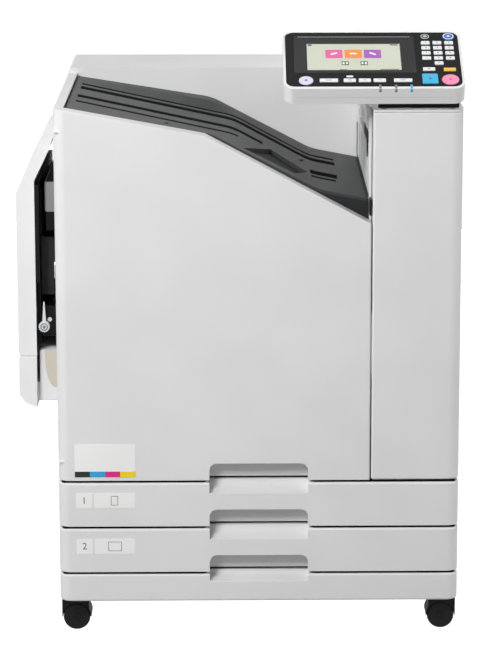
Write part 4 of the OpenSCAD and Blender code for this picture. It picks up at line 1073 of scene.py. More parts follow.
@dataclass
class OutputTray:
    """The bent tray for printed sheets: a sunk middle, long grooves, a hand pocket and slots.

    The edge and the middle are broken lines of places across and heights. A groove is its
    middle's place to the back, its width, its two ends across and its depth.
    """

    stock: Stock
    wall: float = 3.0
    bend_r: float = 14.0
    bend_steps: int = 4
    rim_r: float = 4.0
    rim_turn: float = 0.8
    crease: float = 20.0
    columns: int = 120
    skirt_h: float = 56.0
    xs: Spot = (-351.4, 200.4)
    ys: Spot = (40.4, 499.7)
    edge: tuple[Spot, ...] = ((-351.4, 983.0), (-88.0, 941.0), (108.0, 838.0), (200.4, 820.0))
    middle: tuple[Spot, ...] = (
        (-351.4, 983.4),
        (-338.0, 981.0),
        (-45.0, 918.4),
        (100.0, 840.0),
        (200.4, 820.0),
    )
    margins: tuple[float, ...] = (60.0, 72.0, 424.0, 452.0)
    margin_slack: float = 0.1
    grooves: tuple[tuple[float, ...], ...] = (
        (404.0, 20.0, -338.0, 150.0, 5.0),
        (356.0, 36.0, -338.0, 150.0, 6.0),
        (248.0, 32.0, -338.0, 10.0, 6.0),
        (180.0, 18.0, -338.0, -36.0, 5.0),
        (211.0, 44.0, 99.0, 150.0, 8.0),
        (164.0, 20.0, 100.0, 146.0, 8.0),
    )
    pocket: tuple[Spot, ...] = ((-27.0, 74.0), (67.0, 92.0), (93.0, 186.0), (25.0, 227.0))
    pocket_d: float = 9.0
    # Black bodies in the grooves and the pocket paint their shade: gap to the walls, lift,
    # thickness, then each far wall strip's width and shortfall below the rim.
    liner_gap: float = 0.15
    liner_up: float = 0.02
    liner_t: float = 0.25
    far_wall: Spot = (1.4, 0.7)
    facing_in: Spot = (1.0, 4.0)
    facing_out: float = 0.02
    facing_t: float = 0.3
    studs: tuple[Spot, ...] = ((-172.0, 140.0), (80.0, 287.0))
    stud_r: float = 7.0
    stud_h: float = 3.4
    stud_rim: float = 0.6
    stud_up: float = 1.0

    def line(self, points: tuple[Spot, ...], x: float) -> float:
        """Gives the height of a broken line whose bends are rounded.

        Args:
            points: The line's corners, as places across and heights, in machine millimetres.
            x: A place across.

        Returns:
            The height.
        """
        heights = []
        for step in range(-self.bend_steps, self.bend_steps + 1):
            at = x + self.bend_r * step / self.bend_steps
            spans = [pair for pair in zip(points, points[1:]) if at <= pair[1][0]]
            (x0, z0), (x1, z1) = spans[0] if spans else points[-2:]
            heights.append(z0 + (z1 - z0) * (at - x0) / (x1 - x0))
        return sum(heights) / len(heights)

    def level(self, x: float, y: float) -> float:
        """Height of the skin at a place in plan, in machine millimetres.

        Args:
            x: The place across.
            y: The place to the back.

        Returns:
            The height.
        """
        front, back = self.margins[1] - self.margin_slack, self.margins[2] + self.margin_slack
        sunk = front < y < back
        return self.line(self.middle if sunk else self.edge, x)

    def blank(self, xs: Spot, ys: Spot) -> Mesh:
        """A flat sheet over a part of the tray's plan, in columns that can follow its bends.

        Args:
            xs: Its left and right ends, in machine millimetres.
            ys: Its front and back ends.

        Returns:
            The sheet, on the floor.
        """
        bm = bmesh.new()
        bmesh.ops.create_grid(bm, x_segments=self.columns, y_segments=1, size=0.5)
        size = ((xs[1] - xs[0]) * MM, (ys[1] - ys[0]) * MM, 1.0)
        bmesh.ops.scale(bm, vec=size, verts=bm.verts)
        middle = self.stock.bench.point(sum(xs) / 2, sum(ys) / 2, 0.0)
        bmesh.ops.translate(bm, vec=middle, verts=bm.verts)
        return bm

    def lay(self, bm: Mesh, lift: float = 0.0) -> Mesh:
        """Lays a flat sheet on the tray's bends.

        Args:
            bm: The sheet.
            lift: How far over the skin it lies, in millimetres.

        Returns:
            The same sheet.
        """
        corner = self.stock.bench.point(0.0, 0.0, 0.0)
        for vert in bm.verts:
            plan = (vert.co - corner) / MM
            vert.co.z = (self.level(plan.x, plan.y) + lift) * MM
        bm.normal_update()
        return bm

    def sheet(self) -> Mesh:
        """The tray's upper skin, its middle sunk between two margins.

        Returns:
            The skin, in place.
        """
        bm = self.blank(self.xs, self.ys)
        for y in self.margins:
            cut(bm, self.stock.bench.point(0.0, y, 0.0), Vector((0, 1, 0)))
        return self.lay(bm)

    def skirt(self, bm: Mesh) -> None:
        """Turns the skin down along its front edge, over a rounded rim.

        Args:
            bm: The skin.
        """
        front = self.stock.bench.point(0, self.ys[0], 0).y

        def at_front(edge: Edge) -> bool:
            """Says whether an edge lies along the tray's front."""
            return all(abs(v.co.y - front) < SAME_POINT for v in edge.verts)

        def is_rim(edge: Edge) -> bool:
            """Says whether an edge lies between the skin and the skirt.

            Args:
                edge: The edge.

            Returns:
                True where it does.
            """
            if len(edge.link_faces) != 2 or not at_front(edge):
                return False
            skin, skirt = edge.link_faces
            return abs(skin.normal.y - skirt.normal.y) > self.rim_turn

        edges = [e for e in bm.edges if e.is_boundary and at_front(e)]
        grown = bmesh.ops.extrude_edge_only(bm, edges=edges)["geom"]
        foot = [v for v in grown if isinstance(v, Vert)]
        bmesh.ops.translate(bm, vec=(0, 0, -self.skirt_h * MM), verts=foot)
        bmesh.ops.recalc_face_normals(bm, faces=bm.faces)
        if max(bm.faces, key=lambda f: f.calc_area()).normal.z < 0:
            bmesh.ops.reverse_faces(bm, faces=bm.faces)
        round_edges(bm, self.rim_r, 4, is_rim)

    def box_of(self, groove: tuple[float, ...]) -> list[Spot]:
        """The corners in plan of a groove."""
        y, width, x0, x1 = groove[:4]
        return rectangle(x0, y - width / 2, x1, y + width / 2)

    # Makes the black bodies that paint the shade in the grooves and the pocket.
    def liner(self, corners: Iterable[Spot], depth: float, rise: float) -> Mesh:
        """A body on the floor of a sunk area, cut to an outline a little inside the walls.

        Args:
            corners: The outline's corners in plan, in order.
            depth: How deep the area is sunk, in millimetres.
            rise: How far the body stands up.

        Returns:
            The body, in place.
        """
        spans = [(min(values), max(values)) for values in zip(*corners)]
        bm = self.blank(*spans)
        for a, normal in inward(self.stock.bench.plan(corners), UP):
            cut(bm, a + normal * self.liner_gap * MM, normal, clear=True)
        self.lay(bm, self.liner_up - depth)
        thicken(bm, UP * rise * MM)
        return bm

    def inlays(self) -> None:
        """Black floors and far walls in the grooves, and a black floor in the pocket: painted
        shade.
        """
        sunk, (wall_w, short) = self.sunk(), self.far_wall
        parts = [self.liner(corners, depth, self.liner_t) for corners, depth in sunk[:-1]]
        for y, width, x0, x1, depth in self.grooves:
            wall = self.box_of((y + width / 2 - wall_w / 2, wall_w, x0, x1))
            parts.append(self.liner(wall, depth, depth - short))
        parts.append(self.liner(*sunk[-1], self.liner_t))
        piece("output_tray_grooves", joined(parts), Surface.BLACK, "root")

    def facing(self) -> None:
        """A darker strip along the tray's front, under its rounded rim, so that the front reads
        darker than the top.
        """
        (left, right), (under, over) = self.xs, self.facing_in
        steps = [left + i * (right - left) / self.columns for i in range(self.columns + 1)]
        rim_line = [(x, self.line(self.edge, x) - self.rim_r - under) for x in steps]
        foot_line = [(x, z - self.skirt_h + self.rim_r + over) for x, z in reversed(rim_line)]
        start = self.stock.bench.point(0.0, self.ys[0] - self.facing_out, 0.0)
        bm = upright_sheet(start, rim_line + foot_line)
        thicken(bm, Vector((0, -self.facing_t * MM, 0)))
        piece("output_tray_facing", bm, Surface.DEEP, "root")

    def stud_caps(self) -> None:
        """The two small studs on the tray's middle."""
        studs = []
        for x, y in self.studs:
            seat = self.stock.bench.seat(x, y, self.level(x, y) + self.stud_up - self.stud_h)
            studs.append(place(disc(self.stud_r, self.stud_h, self.stud_rim, sides=24), seat))
        piece("output_tray_studs", joined(studs), Surface.TRAY, "root")

    def sunk(self) -> list[tuple[list[Spot], float]]:
        """The corners and the depth of each groove, and last those of the pocket."""
        grooves = [(self.box_of(groove), groove[4]) for groove in self.grooves]
        return [*grooves, (list(self.pocket), self.pocket_d)]

    def build(self) -> None:
        """Builds the tray in place of the plain solid."""
        bm = self.sheet()
        for corners, depth in self.sunk():
            press(bm, self.stock.bench.plan(corners), UP, depth)
        self.skirt(bm)
        tray = piece("output_tray_moulding", bm, Surface.TRAY, "root", self.crease)
        shell = tray.modifiers.new("wall", "SOLIDIFY")
        shell.thickness, shell.offset = self.wall * MM, -1.0
        tray.modifiers.move(1, 0)
        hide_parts("output_tray")
        self.inlays()
        self.facing()
        self.stud_caps()


@dataclass
class BodyCovers:
    """The side, back and top covers, the rear housing and the exit wall of the column.

    Places on the back run across and up. A bed is the sunk place of a screw or plate, and the
    rating plate is its thickness, corner radius and rim radius.
    """

    stock: Stock
    edge_r: float = 1.2
    cap_r: float = 2.6
    screw_r: float = 4.2
    screw_h: float = 1.6
    screw_rim: float = 0.5
    recess_in: float = 2.0
    recess_d: float = 1.0
    bed_r: float = 6.0
    bed_d: float = 1.8
    rating_at: Spot = (110.0, 157.0)
    rating_half: Spot = (48.0, 30.0)
    rating_d: float = 0.5
    rating_gap: float = 0.5
    rating: tuple[float, ...] = (0.4, 2.0, 0.15)
    screws: dict[str, tuple[Spot, ...]] = field(
        default_factory=lambda: {
            "rear_cover": tuple((x, z) for x in (-340.0, 0.0, 340.0) for z in (84.0, 440.0, 800.0)),
            "rear_housing": tuple((x, z) for x in (-340.0, 340.0) for z in (842.0, 976.0)),
        }
    )

    def screw(self, seat: Matrix) -> Mesh:
        """A pan-head screw with a round recess.

        Args:
            seat: Where it sits, its head along the placement's Z.

        Returns:
            Its mesh, in place.
        """
        bm = disc(self.screw_r, self.screw_h, self.screw_rim, sides=20)
        top = max(bm.faces, key=lambda f: f.calc_center_median().z)
        bmesh.ops.inset_region(bm, faces=[top], thickness=self.recess_in * MM, use_boundary=True)
        bmesh.ops.translate(bm, vec=-UP * self.recess_d * MM, verts=top.verts)
        return place(bm, seat)

    def back(self) -> None:
        """The back cover and housing with sunk screws, and a bare rating plate in a shallow bed."""
        bench, out, turn = self.stock.bench, Vector((0, 1, 0)), FACING_BACK
        back_y = (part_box("rear_cover")[1].y - bench.front_y) / MM
        screws = []
        for name, spots in self.screws.items():
            bm = self.stock.copy(name)
            round_edges(bm, self.edge_r, 2, sharp(30.0))
            beds = [(x, z, self.bed_r, self.bed_r, self.bed_d) for x, z in spots]
            if name == "rear_cover":
                beds.append((*self.rating_at, *self.rating_half, self.rating_d))
            for x, z, half_w, half_h, depth in beds:
                bed = rectangle(x - half_w, z - half_h, x + half_w, z + half_h)
                press(bm, [bench.point(a, back_y, b) for a, b in bed], out, depth)
            made = piece(f"{name}_moulding", bm, Surface.SHELL, "root")
            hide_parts(name)
            screws += [self.screw(bench.seat(x, back_y - self.bed_d, z, turn)) for x, z in spots]
        piece("back_screws", joined(screws), Surface.BRIGHT, "root")
        size = [2 * (half - self.rating_gap) for half in self.rating_half]
        x, z = self.rating_at
        plate = place(slab(*size, *self.rating), bench.seat(x, back_y - self.rating_d, z, turn))
        piece("rating_plate", plate, Surface.LABEL_GREY, "root")

    def build(self) -> None:
        """Builds the covers."""
        soften = self.stock.soften
        for name in ("left_cover", "right_cover"):
            soften(name, Surface.SHELL, [(self.edge_r, 2, sharp(30.0))])
        soften("tower_cap", Surface.SHELL, [(self.cap_r, 4, rim(True, NO_BACK))])
        soften("exit_guide", Surface.SHELL, [(self.edge_r, 2, sharp(20.0))])
        self.back()


class WallPlate(NamedTuple):
    """A plate on the column's wall over the tray, in machine millimetres.

    It gives the plate's middle to the back and upwards, its length to the back, its height, how
    far it stands out and the radius of its corners.
    """

    y: float
    z: float
    length: float
    height: float
    out: float
    corner: float


@dataclass
class ExitUnit:
    """What shows on the column's wall over the tray: pinch rollers, the full-tray flag, and black
    strips of painted shade in its joints.

    Joint shade posts are upright black strips of painted shade, each its size and its place,
    measured across from the wall.
    """

    stock: Stock
    wall_x: float = 201.0
    pinch_r: float = 5.0
    pinch_w: float = 12.0
    pinch_rim: float = 1.0
    pinch_in: float = 15.0
    pinch_ys: tuple[float, ...] = (150.0, 215.0, 280.0, 345.0, 410.0)
    pinch_z: float = 920.5
    shaft_r: float = 1.6
    shaft_y: Spot = (110.0, 450.0)
    flag: tuple[WallPlate, ...] = (
        WallPlate(126.0, 929.0, 128.0, 20.0, 1.6, 6.0),
        WallPlate(84.0, 908.0, 18.0, 34.0, 2.0, 3.0),
    )
    arm: tuple[WallPlate, ...] = (
        WallPlate(124.0, 955.0, 96.0, 24.0, 2.4, 5.0),
        WallPlate(210.0, 962.0, 90.0, 8.0, 1.4, 3.0),
    )
    rib_ys: tuple[float, ...] = (56.0, 84.0, 112.0, 140.0, 168.0, 300.0, 400.0)
    rib: WallPlate = WallPlate(0.0, 868.0, 12.0, 66.0, 1.2, 0.6)
    duct_y: float = 280.0
    duct_z: float = 912.0
    duct_l: float = 346.0
    duct_h: float = 60.0
    duct_w: float = 34.0
    duct_t: float = 1.5
    duct_back_in: float = 41.0
    duct_walls_in: float = 23.0
    duct_wall_zs: Spot = (882.0, 940.0)
    # Black strips in the exit wall's joints: painted shade.
    foot_seal: WallPlate = WallPlate(270.0, 824.0, 452.0, 4.0, 0.8, 0.0)
    posts: tuple[tuple[Place, Place], ...] = (
        ((1.2, 1.6, 66.0), (-0.8, 498.8, 824.0)),
        ((2.4, 30.0, 30.0), (2.0, 22.0, 794.0)),
    )

    def on_wall(self, plate: WallPlate) -> Mesh:
        """A plate in its place on the wall, with a softened rim."""
        bm = slab(plate.length, plate.height, plate.out, plate.corner, plate.out / 3)
        return place(bm, self.stock.bench.seat(self.wall_x, plate.y, plate.z, FACING_LEFT))

    def rollers(self) -> None:
        """The pinch rollers on their shaft, inside the slot."""
        bench, middle = self.stock.bench, self.wall_x + self.pinch_in
        parts = [
            place(
                disc(self.pinch_r, self.pinch_w, self.pinch_rim, sides=24),
                bench.seat(middle, y + self.pinch_w / 2, self.pinch_z, FACING_FRONT),
            )
            for y in self.pinch_ys
        ]
        shaft = disc(self.shaft_r, self.shaft_y[1] - self.shaft_y[0], sides=16)
        parts.append(place(shaft, bench.seat(middle, self.shaft_y[1], self.pinch_z, FACING_FRONT)))
        piece("exit_pinch_rollers", joined(parts), Surface.DEEP, "root")

    def build(self) -> None:
        """Builds the rollers, the flag with its arm, the wall's ribs in a grey of painted shade,
        the duct, and black strips of painted shade in the wall's joints.
        """
        self.rollers()
        bench, x = self.stock.bench, self.wall_x
        piece("full_tray_flag", joined(map(self.on_wall, self.flag)), Surface.BLACK, "root")
        piece("full_tray_arm", joined(map(self.on_wall, self.arm)), Surface.LABEL, "root")
        # The ribs are relief, and their grey finish paints the shade of the band they stand in.
        ribs = joined(self.on_wall(self.rib._replace(y=y)) for y in self.rib_ys)
        piece("exit_wall_ribs", ribs, Surface.PALE_LEGEND, "root")
        back = bench.seat(x + self.duct_back_in, self.duct_y, self.duct_z, FACING_LEFT)
        duct = [place(slab(self.duct_l, self.duct_h, self.duct_t), back)]
        for z in self.duct_wall_zs:
            wall = slab(self.duct_w, self.duct_l, self.duct_t)
            duct.append(place(wall, bench.seat(x + self.duct_walls_in, self.duct_y, z)))
        piece("exit_duct", joined(duct), Surface.BLACK, "root")
        # Painted shade: black strips in the joints at the wall's foot and corners.
        joint_shades = [self.on_wall(self.foot_seal)]
        joint_shades += [place(slab(*size), bench.seat(x + at[0], *at[1:])) for size, at in self.posts]
        piece("exit_wall_seals", joined(joint_shades), Surface.BLACK, "root")


class RibRow(NamedTuple):
    """A row of equal ribs: a rib's width, height, standing out and rim, then the row's place."""

    width: float
    height: float
    out: float
    rim_r: float
    x: float
    z: float
    ys: range


@dataclass
class FeedUnit:
    """The side feed unit: folded tray, its bed and guides, the roller block, knob and brackets.

    The box's face and end are a little short of its sides. A knob's ring is a radius and a
    height over its back, and the bracket's bend is how full its curve is.
    """

    stock: Stock
    tray_rim_r: float = 2.2
    lower_rim_r: float = 1.8
    box_x: Spot = (-392.0, -370.0)
    box_y: Spot = (116.0, 484.0)
    box_z: Spot = (783.0, 839.0)
    box_t: float = 1.6
    box_rim: float = 0.8
    box_corner: float = 3.0
    box_end_corner: float = 2.0
    box_short: Spot = (2.0, 1.0)
    box_ribs: RibRow = RibRow(4.0, 40.0, 2.4, 0.8, -393.2, 811.0, range(150, 460, 30))
    bed_ribs: RibRow = RibRow(3.0, 96.0, 1.2, 0.5, -404.0, 770.0, range(140, 480, 20))
    back_ribs: RibRow = RibRow(5.0, 90.0, 3.0, 0.8, -373.0, 690.0, range(128, 480, 22))
    blade_tip: float = 2.0
    blade_taper: float = 0.35
    blade_rim_r: float = 0.6
    knob_at: Place = (-398.0, 107.7, 567.0)
    knob_r: float = 9.5
    knob_t: float = 3.0
    knob_rim: float = 0.6
    tooth: Place = (1.4, 2.0, 2.6)
    tooth_step: int = 20
    ring_t: float = 0.3
    rings: tuple[Spot, ...] = ((7.2, 3.0), (3.0, 3.6))
    face_r: float = 5.0
    face_t: float = 0.6
    face_rim: float = 0.2
    bracket_x: Spot = (-399.0, -373.0)
    bracket_z: Spot = (448.0, 520.0)
    bracket_bend: float = 0.7
    bracket_out: float = 1.2
    bracket_t: float = 1.1

    def covers(self) -> None:
        """The light outer covers with softened rims."""
        tray_rim, lower_rim = sharp(25.0, 25.0), sharp(25.0, 50.0)
        self.stock.soften("feed_tray_cover", Surface.PALE, [(self.tray_rim_r, 4, tray_rim)])
        self.stock.soften("feed_lower_cover", Surface.PALE, [(self.lower_rim_r, 3, lower_rim)])
        self.stock.paint(Surface.BLACK, "feed_housing", "feed_tray_bed")
        self.stock.paint(Surface.TRAY, "paper_guide_front", "paper_guide_rear")

    def row(self, name: str, row: RibRow, turn: Matrix, surface: Surface, body: str) -> None:
        """A row of ribs as one piece, facing the way that the turn gives.

        Args:
            name: The piece's name.
            row: The row's sizes and place.
            turn: Which way the ribs face.
            surface: Their finish.
            body: The body that they move with.
        """
        ribs = joined(
            place(
                slab(row.width, row.height, row.out, 0.0, row.rim_r),
                self.stock.bench.seat(row.x, y, row.z, turn),
            )
            for y in row.ys
        )
        piece(name, ribs, surface, body)

    def upper_box(self) -> None:
        """The grey cover of the separator over the roller, with ribs on its face."""
        bench = self.stock.bench
        width, height = self.box_y[1] - self.box_y[0], self.box_z[1] - self.box_z[0]
        middle = (sum(self.box_y) / 2, sum(self.box_z) / 2)
        depth, (face_short, end_short) = self.box_x[1] - self.box_x[0], self.box_short
        face = slab(width - face_short, height, self.box_t, self.box_corner, self.box_rim)
        end = slab(depth - end_short, height, self.box_t, self.box_end_corner, self.box_rim)
        end_at = bench.seat(sum(self.box_x) / 2, self.box_y[0], middle[1], FACING_FRONT)
        cap = [place(face, bench.seat(self.box_x[0], *middle, FACING_LEFT)), place(end, end_at)]
        piece("separator_cover", joined(cap), Surface.GREY, "root")
        self.row("separator_ribs", self.box_ribs, FACING_LEFT, Surface.TRAY, "root")

    def knob(self) -> None:
        """The ribbed knob on the lever's pin, ringed like a dial, and the lever's light blade."""
        blade = self.stock.copy("guide_lever")
        low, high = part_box("guide_lever")
        tip = [v for v in blade.verts if v.co.z > high.z - self.blade_tip * MM]
        axis = Matrix.Translation(-(low + high) / 2)
        bmesh.ops.scale(blade, vec=(self.blade_taper, 1.0, 1.0), space=axis, verts=tip)
        rims = [(self.blade_rim_r, 2, sharp(1.0, 50.0))]
        self.stock.soften("guide_lever", Surface.LABEL_GREY, rims, blade)
        reach = Matrix.Translation((0, self.knob_r * MM, 0))
        turns = [turned(angle, "Z") for angle in range(0, 360, self.tooth_step)]
        teeth = [place(slab(*self.tooth), turn @ reach) for turn in turns]
        knob = joined([disc(self.knob_r, self.knob_t, self.knob_rim, sides=36), *teeth])
        rings = joined(place(disc(r, self.ring_t, sides=36), raised(up)) for r, up in self.rings)
        face = place(disc(self.face_r, self.face_t, self.face_rim, sides=36), raised(self.knob_t))
        seat = self.stock.bench.seat(*self.knob_at, FACING_FRONT)
        body = self.stock.body_of["guide_lever"]
        piece("release_knob", place(knob, seat), Surface.LABEL_GREY, body)
        piece("release_knob_rings", place(rings, seat), Surface.GREY, body)
        piece("release_knob_face", place(face, seat), Surface.LABEL_GREY, body)

    def bracket(self) -> None:
        """The waxy side plate of the bracket below the table, its outer edge cut to a curve."""
        (outer, inner), (foot, top) = self.bracket_x, self.bracket_z
        outline = [(inner, top), (outer, top)]
        for angle in (math.radians(degrees) for degrees in range(10, 90, 10)):
            reach = (inner - outer) * math.cos(angle) ** self.bracket_bend
            outline.append((inner - reach, top - (top - foot) * math.sin(angle)))
        outline.append((inner, foot))
        front = self.stock.bench.point(0.0, self.box_y[0] - self.bracket_out, 0.0)
        bm = upright_sheet(front, outline)
        thicken(bm, Vector((0, self.bracket_t * MM, 0)))
        piece("bracket_plate", bm, Surface.ACETAL, "root")

    def build(self) -> None:
        """Builds the unit, with long ribs under the sheets and upright ones behind them."""
        self.covers()
        self.upper_box()
        self.row("paper_bed_ribs", self.bed_ribs, FACING_RIGHT, Surface.DEEP, "feed_tray")
        self.row("feed_back_ribs", self.back_ribs, FACING_LEFT, Surface.BLACK, "root")
        self.knob()
        self.bracket()


class Mark(NamedTuple):
    """A flat print on the panel: across, up the slope, width, length and corner radius, in mm."""

    u: float
    v: float
    width: float
    length: float
    corner: float = 0.0


class Dot(NamedTuple):
    """A round print: its name, radius, height over its ground in millimetres, and finish."""

    name: str
    radius: float
    up: float
    ink: Surface


@dataclass
class OperationPanel:
    """The tilting panel: its case, printed face, display picture, keys, legends and lamps.

    Places on the panel run to the right, up its slope and out of it, in millimetres, and key
    places are shares of its width and length. A border's loop is its left, low, right and high
    side and its height. A lamp window's part is its length, corner radius, place and lean. Slabs
    are their width, length, height, corner radius and rim radius.
    """

    stock: Stock
    width: float = 325.0
    length: float = 182.0
    depth: float = 33.0
    tilt: float = 27.0
    corner: Place = (45.0, -25.0, 1031.0)
    rim_r: float = 2.4
    rim_in: Spot = (4.0, 2.6)
    rim_corner: float = 12.0
    seam: Place = (281.0, 0.6, 0.4)
    seam_at: Spot = (0.25, -19.0)
    # A black slab under the panel's hinge: painted shade in the gap between the column's cap and
    # the panel.
    shield: tuple[float, ...] = (146.0, 9.5, 1.6, 0.6, 0.3)
    shield_at: Place = (288.5, 15.0, 995.5)
    border: tuple[tuple[float, ...], ...] = (
        (20.2, 51.1, 239.8, 168.7, -0.05),
        (24.6, 54.0, 235.4, 163.4, -1.2),
        (43.6, 60.7, 213.2, 145.3, -1.2),
        (43.6, 60.7, 213.2, 145.3, -1.5),
        (20.2, 51.1, 239.8, 168.7, -1.5),
    )
    # A grey strip on the border's upper edge: a painted highlight.
    glint: tuple[float, ...] = (206.0, 2.4, 0.4, 1.0, 0.15)
    glint_at: Place = (130.0, 165.4, -0.8)
    display_w: float = -1.5
    display_mid: float = 0.395
    tile: Mark = Mark(-0.6, 112.0, 31.0, 27.0, 1.2)
    tile_step: float = 35.0
    tile_mark: Mark = Mark(-0.6, 113.0, 13.0, 4.6, 1.6)
    tile_inks: tuple[Surface, ...] = (Surface.PINK, Surface.ORANGE, Surface.PURPLE)
    mark_turns: tuple[float, ...] = (24.0, 0.0, -30.0)
    small_marks: tuple[Mark, ...] = (
        Mark(-16.0, 82.5, 13.0, 12.0, 1.0),
        Mark(18.0, 82.5, 13.0, 12.0, 1.0),
    )
    window: Place = (3.6, 7.0, 0.4)
    window_off: Spot = (-3.0, 3.0)
    bars: tuple[Mark, ...] = (
        Mark(0.0, 144.4, 168.0, 1.4),
        Mark(-79.0, 140.2, 7.0, 4.6, 1.0),
        Mark(74.0, 140.6, 14.0, 3.0, 0.6),
        Mark(-20.0, 62.6, 14.0, 1.4),
        Mark(64.0, 62.8, 34.0, 1.8),
    )
    key_up: float = 1.6
    key_deep: float = 6.0
    key_r: float = 1.5
    key_rim: float = 0.7
    round_rim: float = 0.9
    digit_key: Spot = (16.0, 10.0)
    digit_first: Spot = (0.801, 0.793)
    digit_step: Spot = (21.4, 16.3)
    digits: str = "123456789*0#+"
    digit_h: float = 4.6
    bar_key: Spot = (33.0, 10.0)
    bar_keys: tuple[Spot, ...] = ((0.25, 0.14), (0.659, 0.14))
    bar_dash: Spot = (9.0, 1.2)
    short_key: Spot = (22.0, 10.0)
    short_keys: tuple[Spot, ...] = ((0.365, 0.14), (0.448, 0.14), (0.53, 0.14), (0.808, 0.332))
    short_dash: Spot = (6.0, 1.2)
    reset_at: Spot = (0.923, 0.324)
    id_at: Spot = (0.933, 0.902)
    id_r: float = 11.0
    id_dots: tuple[Dot, ...] = (
        Dot("id_key_ring", 9.8, 0.0, Surface.LABEL),
        Dot("id_key_field", 8.0, 0.12, Surface.ID_KEY),
        Dot("id_key_mark", 2.6, 0.24, Surface.LABEL),
    )
    wake_at: Spot = (0.124, 0.137)
    wake_r: float = 13.0
    wake_dot_r: float = 2.4
    start_at: Spot = (0.809, 0.165)
    start_key: Place = (28.5, 31.0, 3.0)
    start_dot_r: float = 2.2
    stop_at: Spot = (0.921, 0.151)
    stop_r: float = 15.5
    stop_dot_r: float = 1.8
    rim_lamps: tuple[tuple[float, Surface], ...] = (
        (172.4, Surface.GREY),
        (200.5, Surface.GREY),
        (228.4, Surface.START_KEY),
    )
    lamp_w: float = 4.4
    lamp_t: float = 0.5
    lamp_rim: float = 0.2
    lamp_parts: tuple[tuple[float, float, Spot, float], ...] = (
        (12.0, 1.2, (6.6, -0.1), 0.0),
        (3.4, 0.6, (0.9, -0.78), 45.0),
        (6.0, 1.2, (0.25, -4.6), 90.0),
    )
    card_at: Spot = (260.6, 165.6)
    card_t: float = 0.4
    card_rim: float = 0.1
    card_dots: tuple[Dot, ...] = (
        Dot("card_mark_ring", 7.8, 0.0, Surface.PALE_LEGEND),
        Dot("card_mark_field", 6.2, 0.3, Surface.LEGEND),
        Dot("card_mark_dot", 3.4, 0.5, Surface.PALE_LEGEND),
    )
    mode_lamp: tuple[float, ...] = (12.0, 5.0, 0.5, 1.0, 0.2)
    mode_lamp_at: Spot = (118.9, 38.5)

    def seat(self, u: float, v: float, w: float = 0.0) -> Matrix:
        """A placement on the panel's slope, in millimetres to the right, up the slope and out."""
        start = self.stock.bench.seat(*self.corner, turned(self.tilt, "X"))
        return start @ Matrix.Translation(Vector((u, v, w)) * MM)

    def share(self, at: Spot) -> Spot:
        """A place given as shares of the width and the length, in millimetres."""
        return at[0] * self.width, at[1] * self.length

    def case(self) -> None:
        """The pale case, its upper rim well rounded, with the joint line of its two halves, and a
        black slab of painted shade under the hinge.
        """
        slope = self.seat(0.0, 0.0)
        bm = self.stock.copy("panel_case")
        bm.transform(slope.inverted())
        half = self.width / 2 * MM
        side_in, end_in = (value * MM for value in self.rim_in)

        def outer_rim(edge: Edge) -> bool:
            """Says whether an edge is on the case's outer upper or lower rim.

            Args:
                edge: The edge.

            Returns:
                True where it is.
            """
            heights = [v.co.z for v in edge.verts]
            rims = (0.0, self.depth * MM)
            level = any(all(abs(z + down) < LEVEL_SNAP for z in heights) for down in rims)
            at = (edge.verts[0].co + edge.verts[1].co) / 2
            inner = abs(at.x - half) < half - side_in and end_in < at.y < self.length * MM - end_in
            reach = min(at.x, self.width * MM - at.x) + min(at.y, self.length * MM - at.y)
            return level and edge.is_convex and not (inner and reach > self.rim_corner * MM)

        round_edges(bm, self.rim_r, 4, outer_rim)
        bm.transform(slope)
        made = piece("panel_case_moulding", bm, Surface.PALE, "panel")
        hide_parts("panel_case")
        seam = place(slab(*self.seam), self.seat(self.width / 2, *self.seam_at) @ FACING_FRONT)
        piece("panel_case_seam", seam, Surface.PALE_LEGEND, "panel")
        # Painted shade: a black slab seen through the gap under the panel's hinge.
        shield = place(slab(*self.shield), self.stock.bench.seat(*self.shield_at, FACING_FRONT))
        piece("panel_hinge_shield", shield, Surface.BLACK, "root")

    def ring(self, loops: Iterable[tuple[float, ...]]) -> Mesh:
        """A closed ring through nested rectangles on the slope.

        Args:
            loops: The rectangles in turn, as the class describes a border's loops.

        Returns:
            The ring, in place.
        """
        bm = bmesh.new()
        rows = []
        for left, low, right, high, up in loops:
            corners = rectangle(left, low, right, high)
            rows.append([bm.verts.new(Vector((u, v, up)) * MM) for u, v in corners])
        for one, other in zip(rows, rows[1:] + rows[:1]):
            for i in range(4):
                bm.faces.new((one[i], one[i - 1], other[i - 1], other[i]))
        bmesh.ops.recalc_face_normals(bm, faces=bm.faces)
        return place(bm, self.seat(0.0, 0.0))

    def face(self) -> None:
        """The black overlay and the border round the display, with a grey strip along its upper
        edge as a painted highlight.
        """
        self.stock.paint(Surface.OVERLAY, "panel_face")
        self.stock.paint(Surface.DISPLAY, "touch_screen")
        piece("display_border", self.ring(self.border), Surface.BEZEL, "panel")
        glint = place(slab(*self.glint), self.seat(*self.glint_at))
        piece("display_border_edge", glint, Surface.GREY, "panel")

    def drawn(self, mark: Mark, layer: int = 0, degrees: float = 0.0) -> Mesh:
        """One mark of the display's picture.

        Args:
            mark: The mark, measured across from the picture's middle.
            layer: How many prints lie under it.
            degrees: Its turn on the display.

        Returns:
            Its mesh, in place.
        """
        bm = slab(mark.width, mark.length, PRINT_T, mark.corner)
        u, w = self.display_mid * self.width + mark.u, self.display_w + layer * PRINT_T
        return place(bm, self.seat(u, mark.v, w) @ turned(degrees, "Z"))

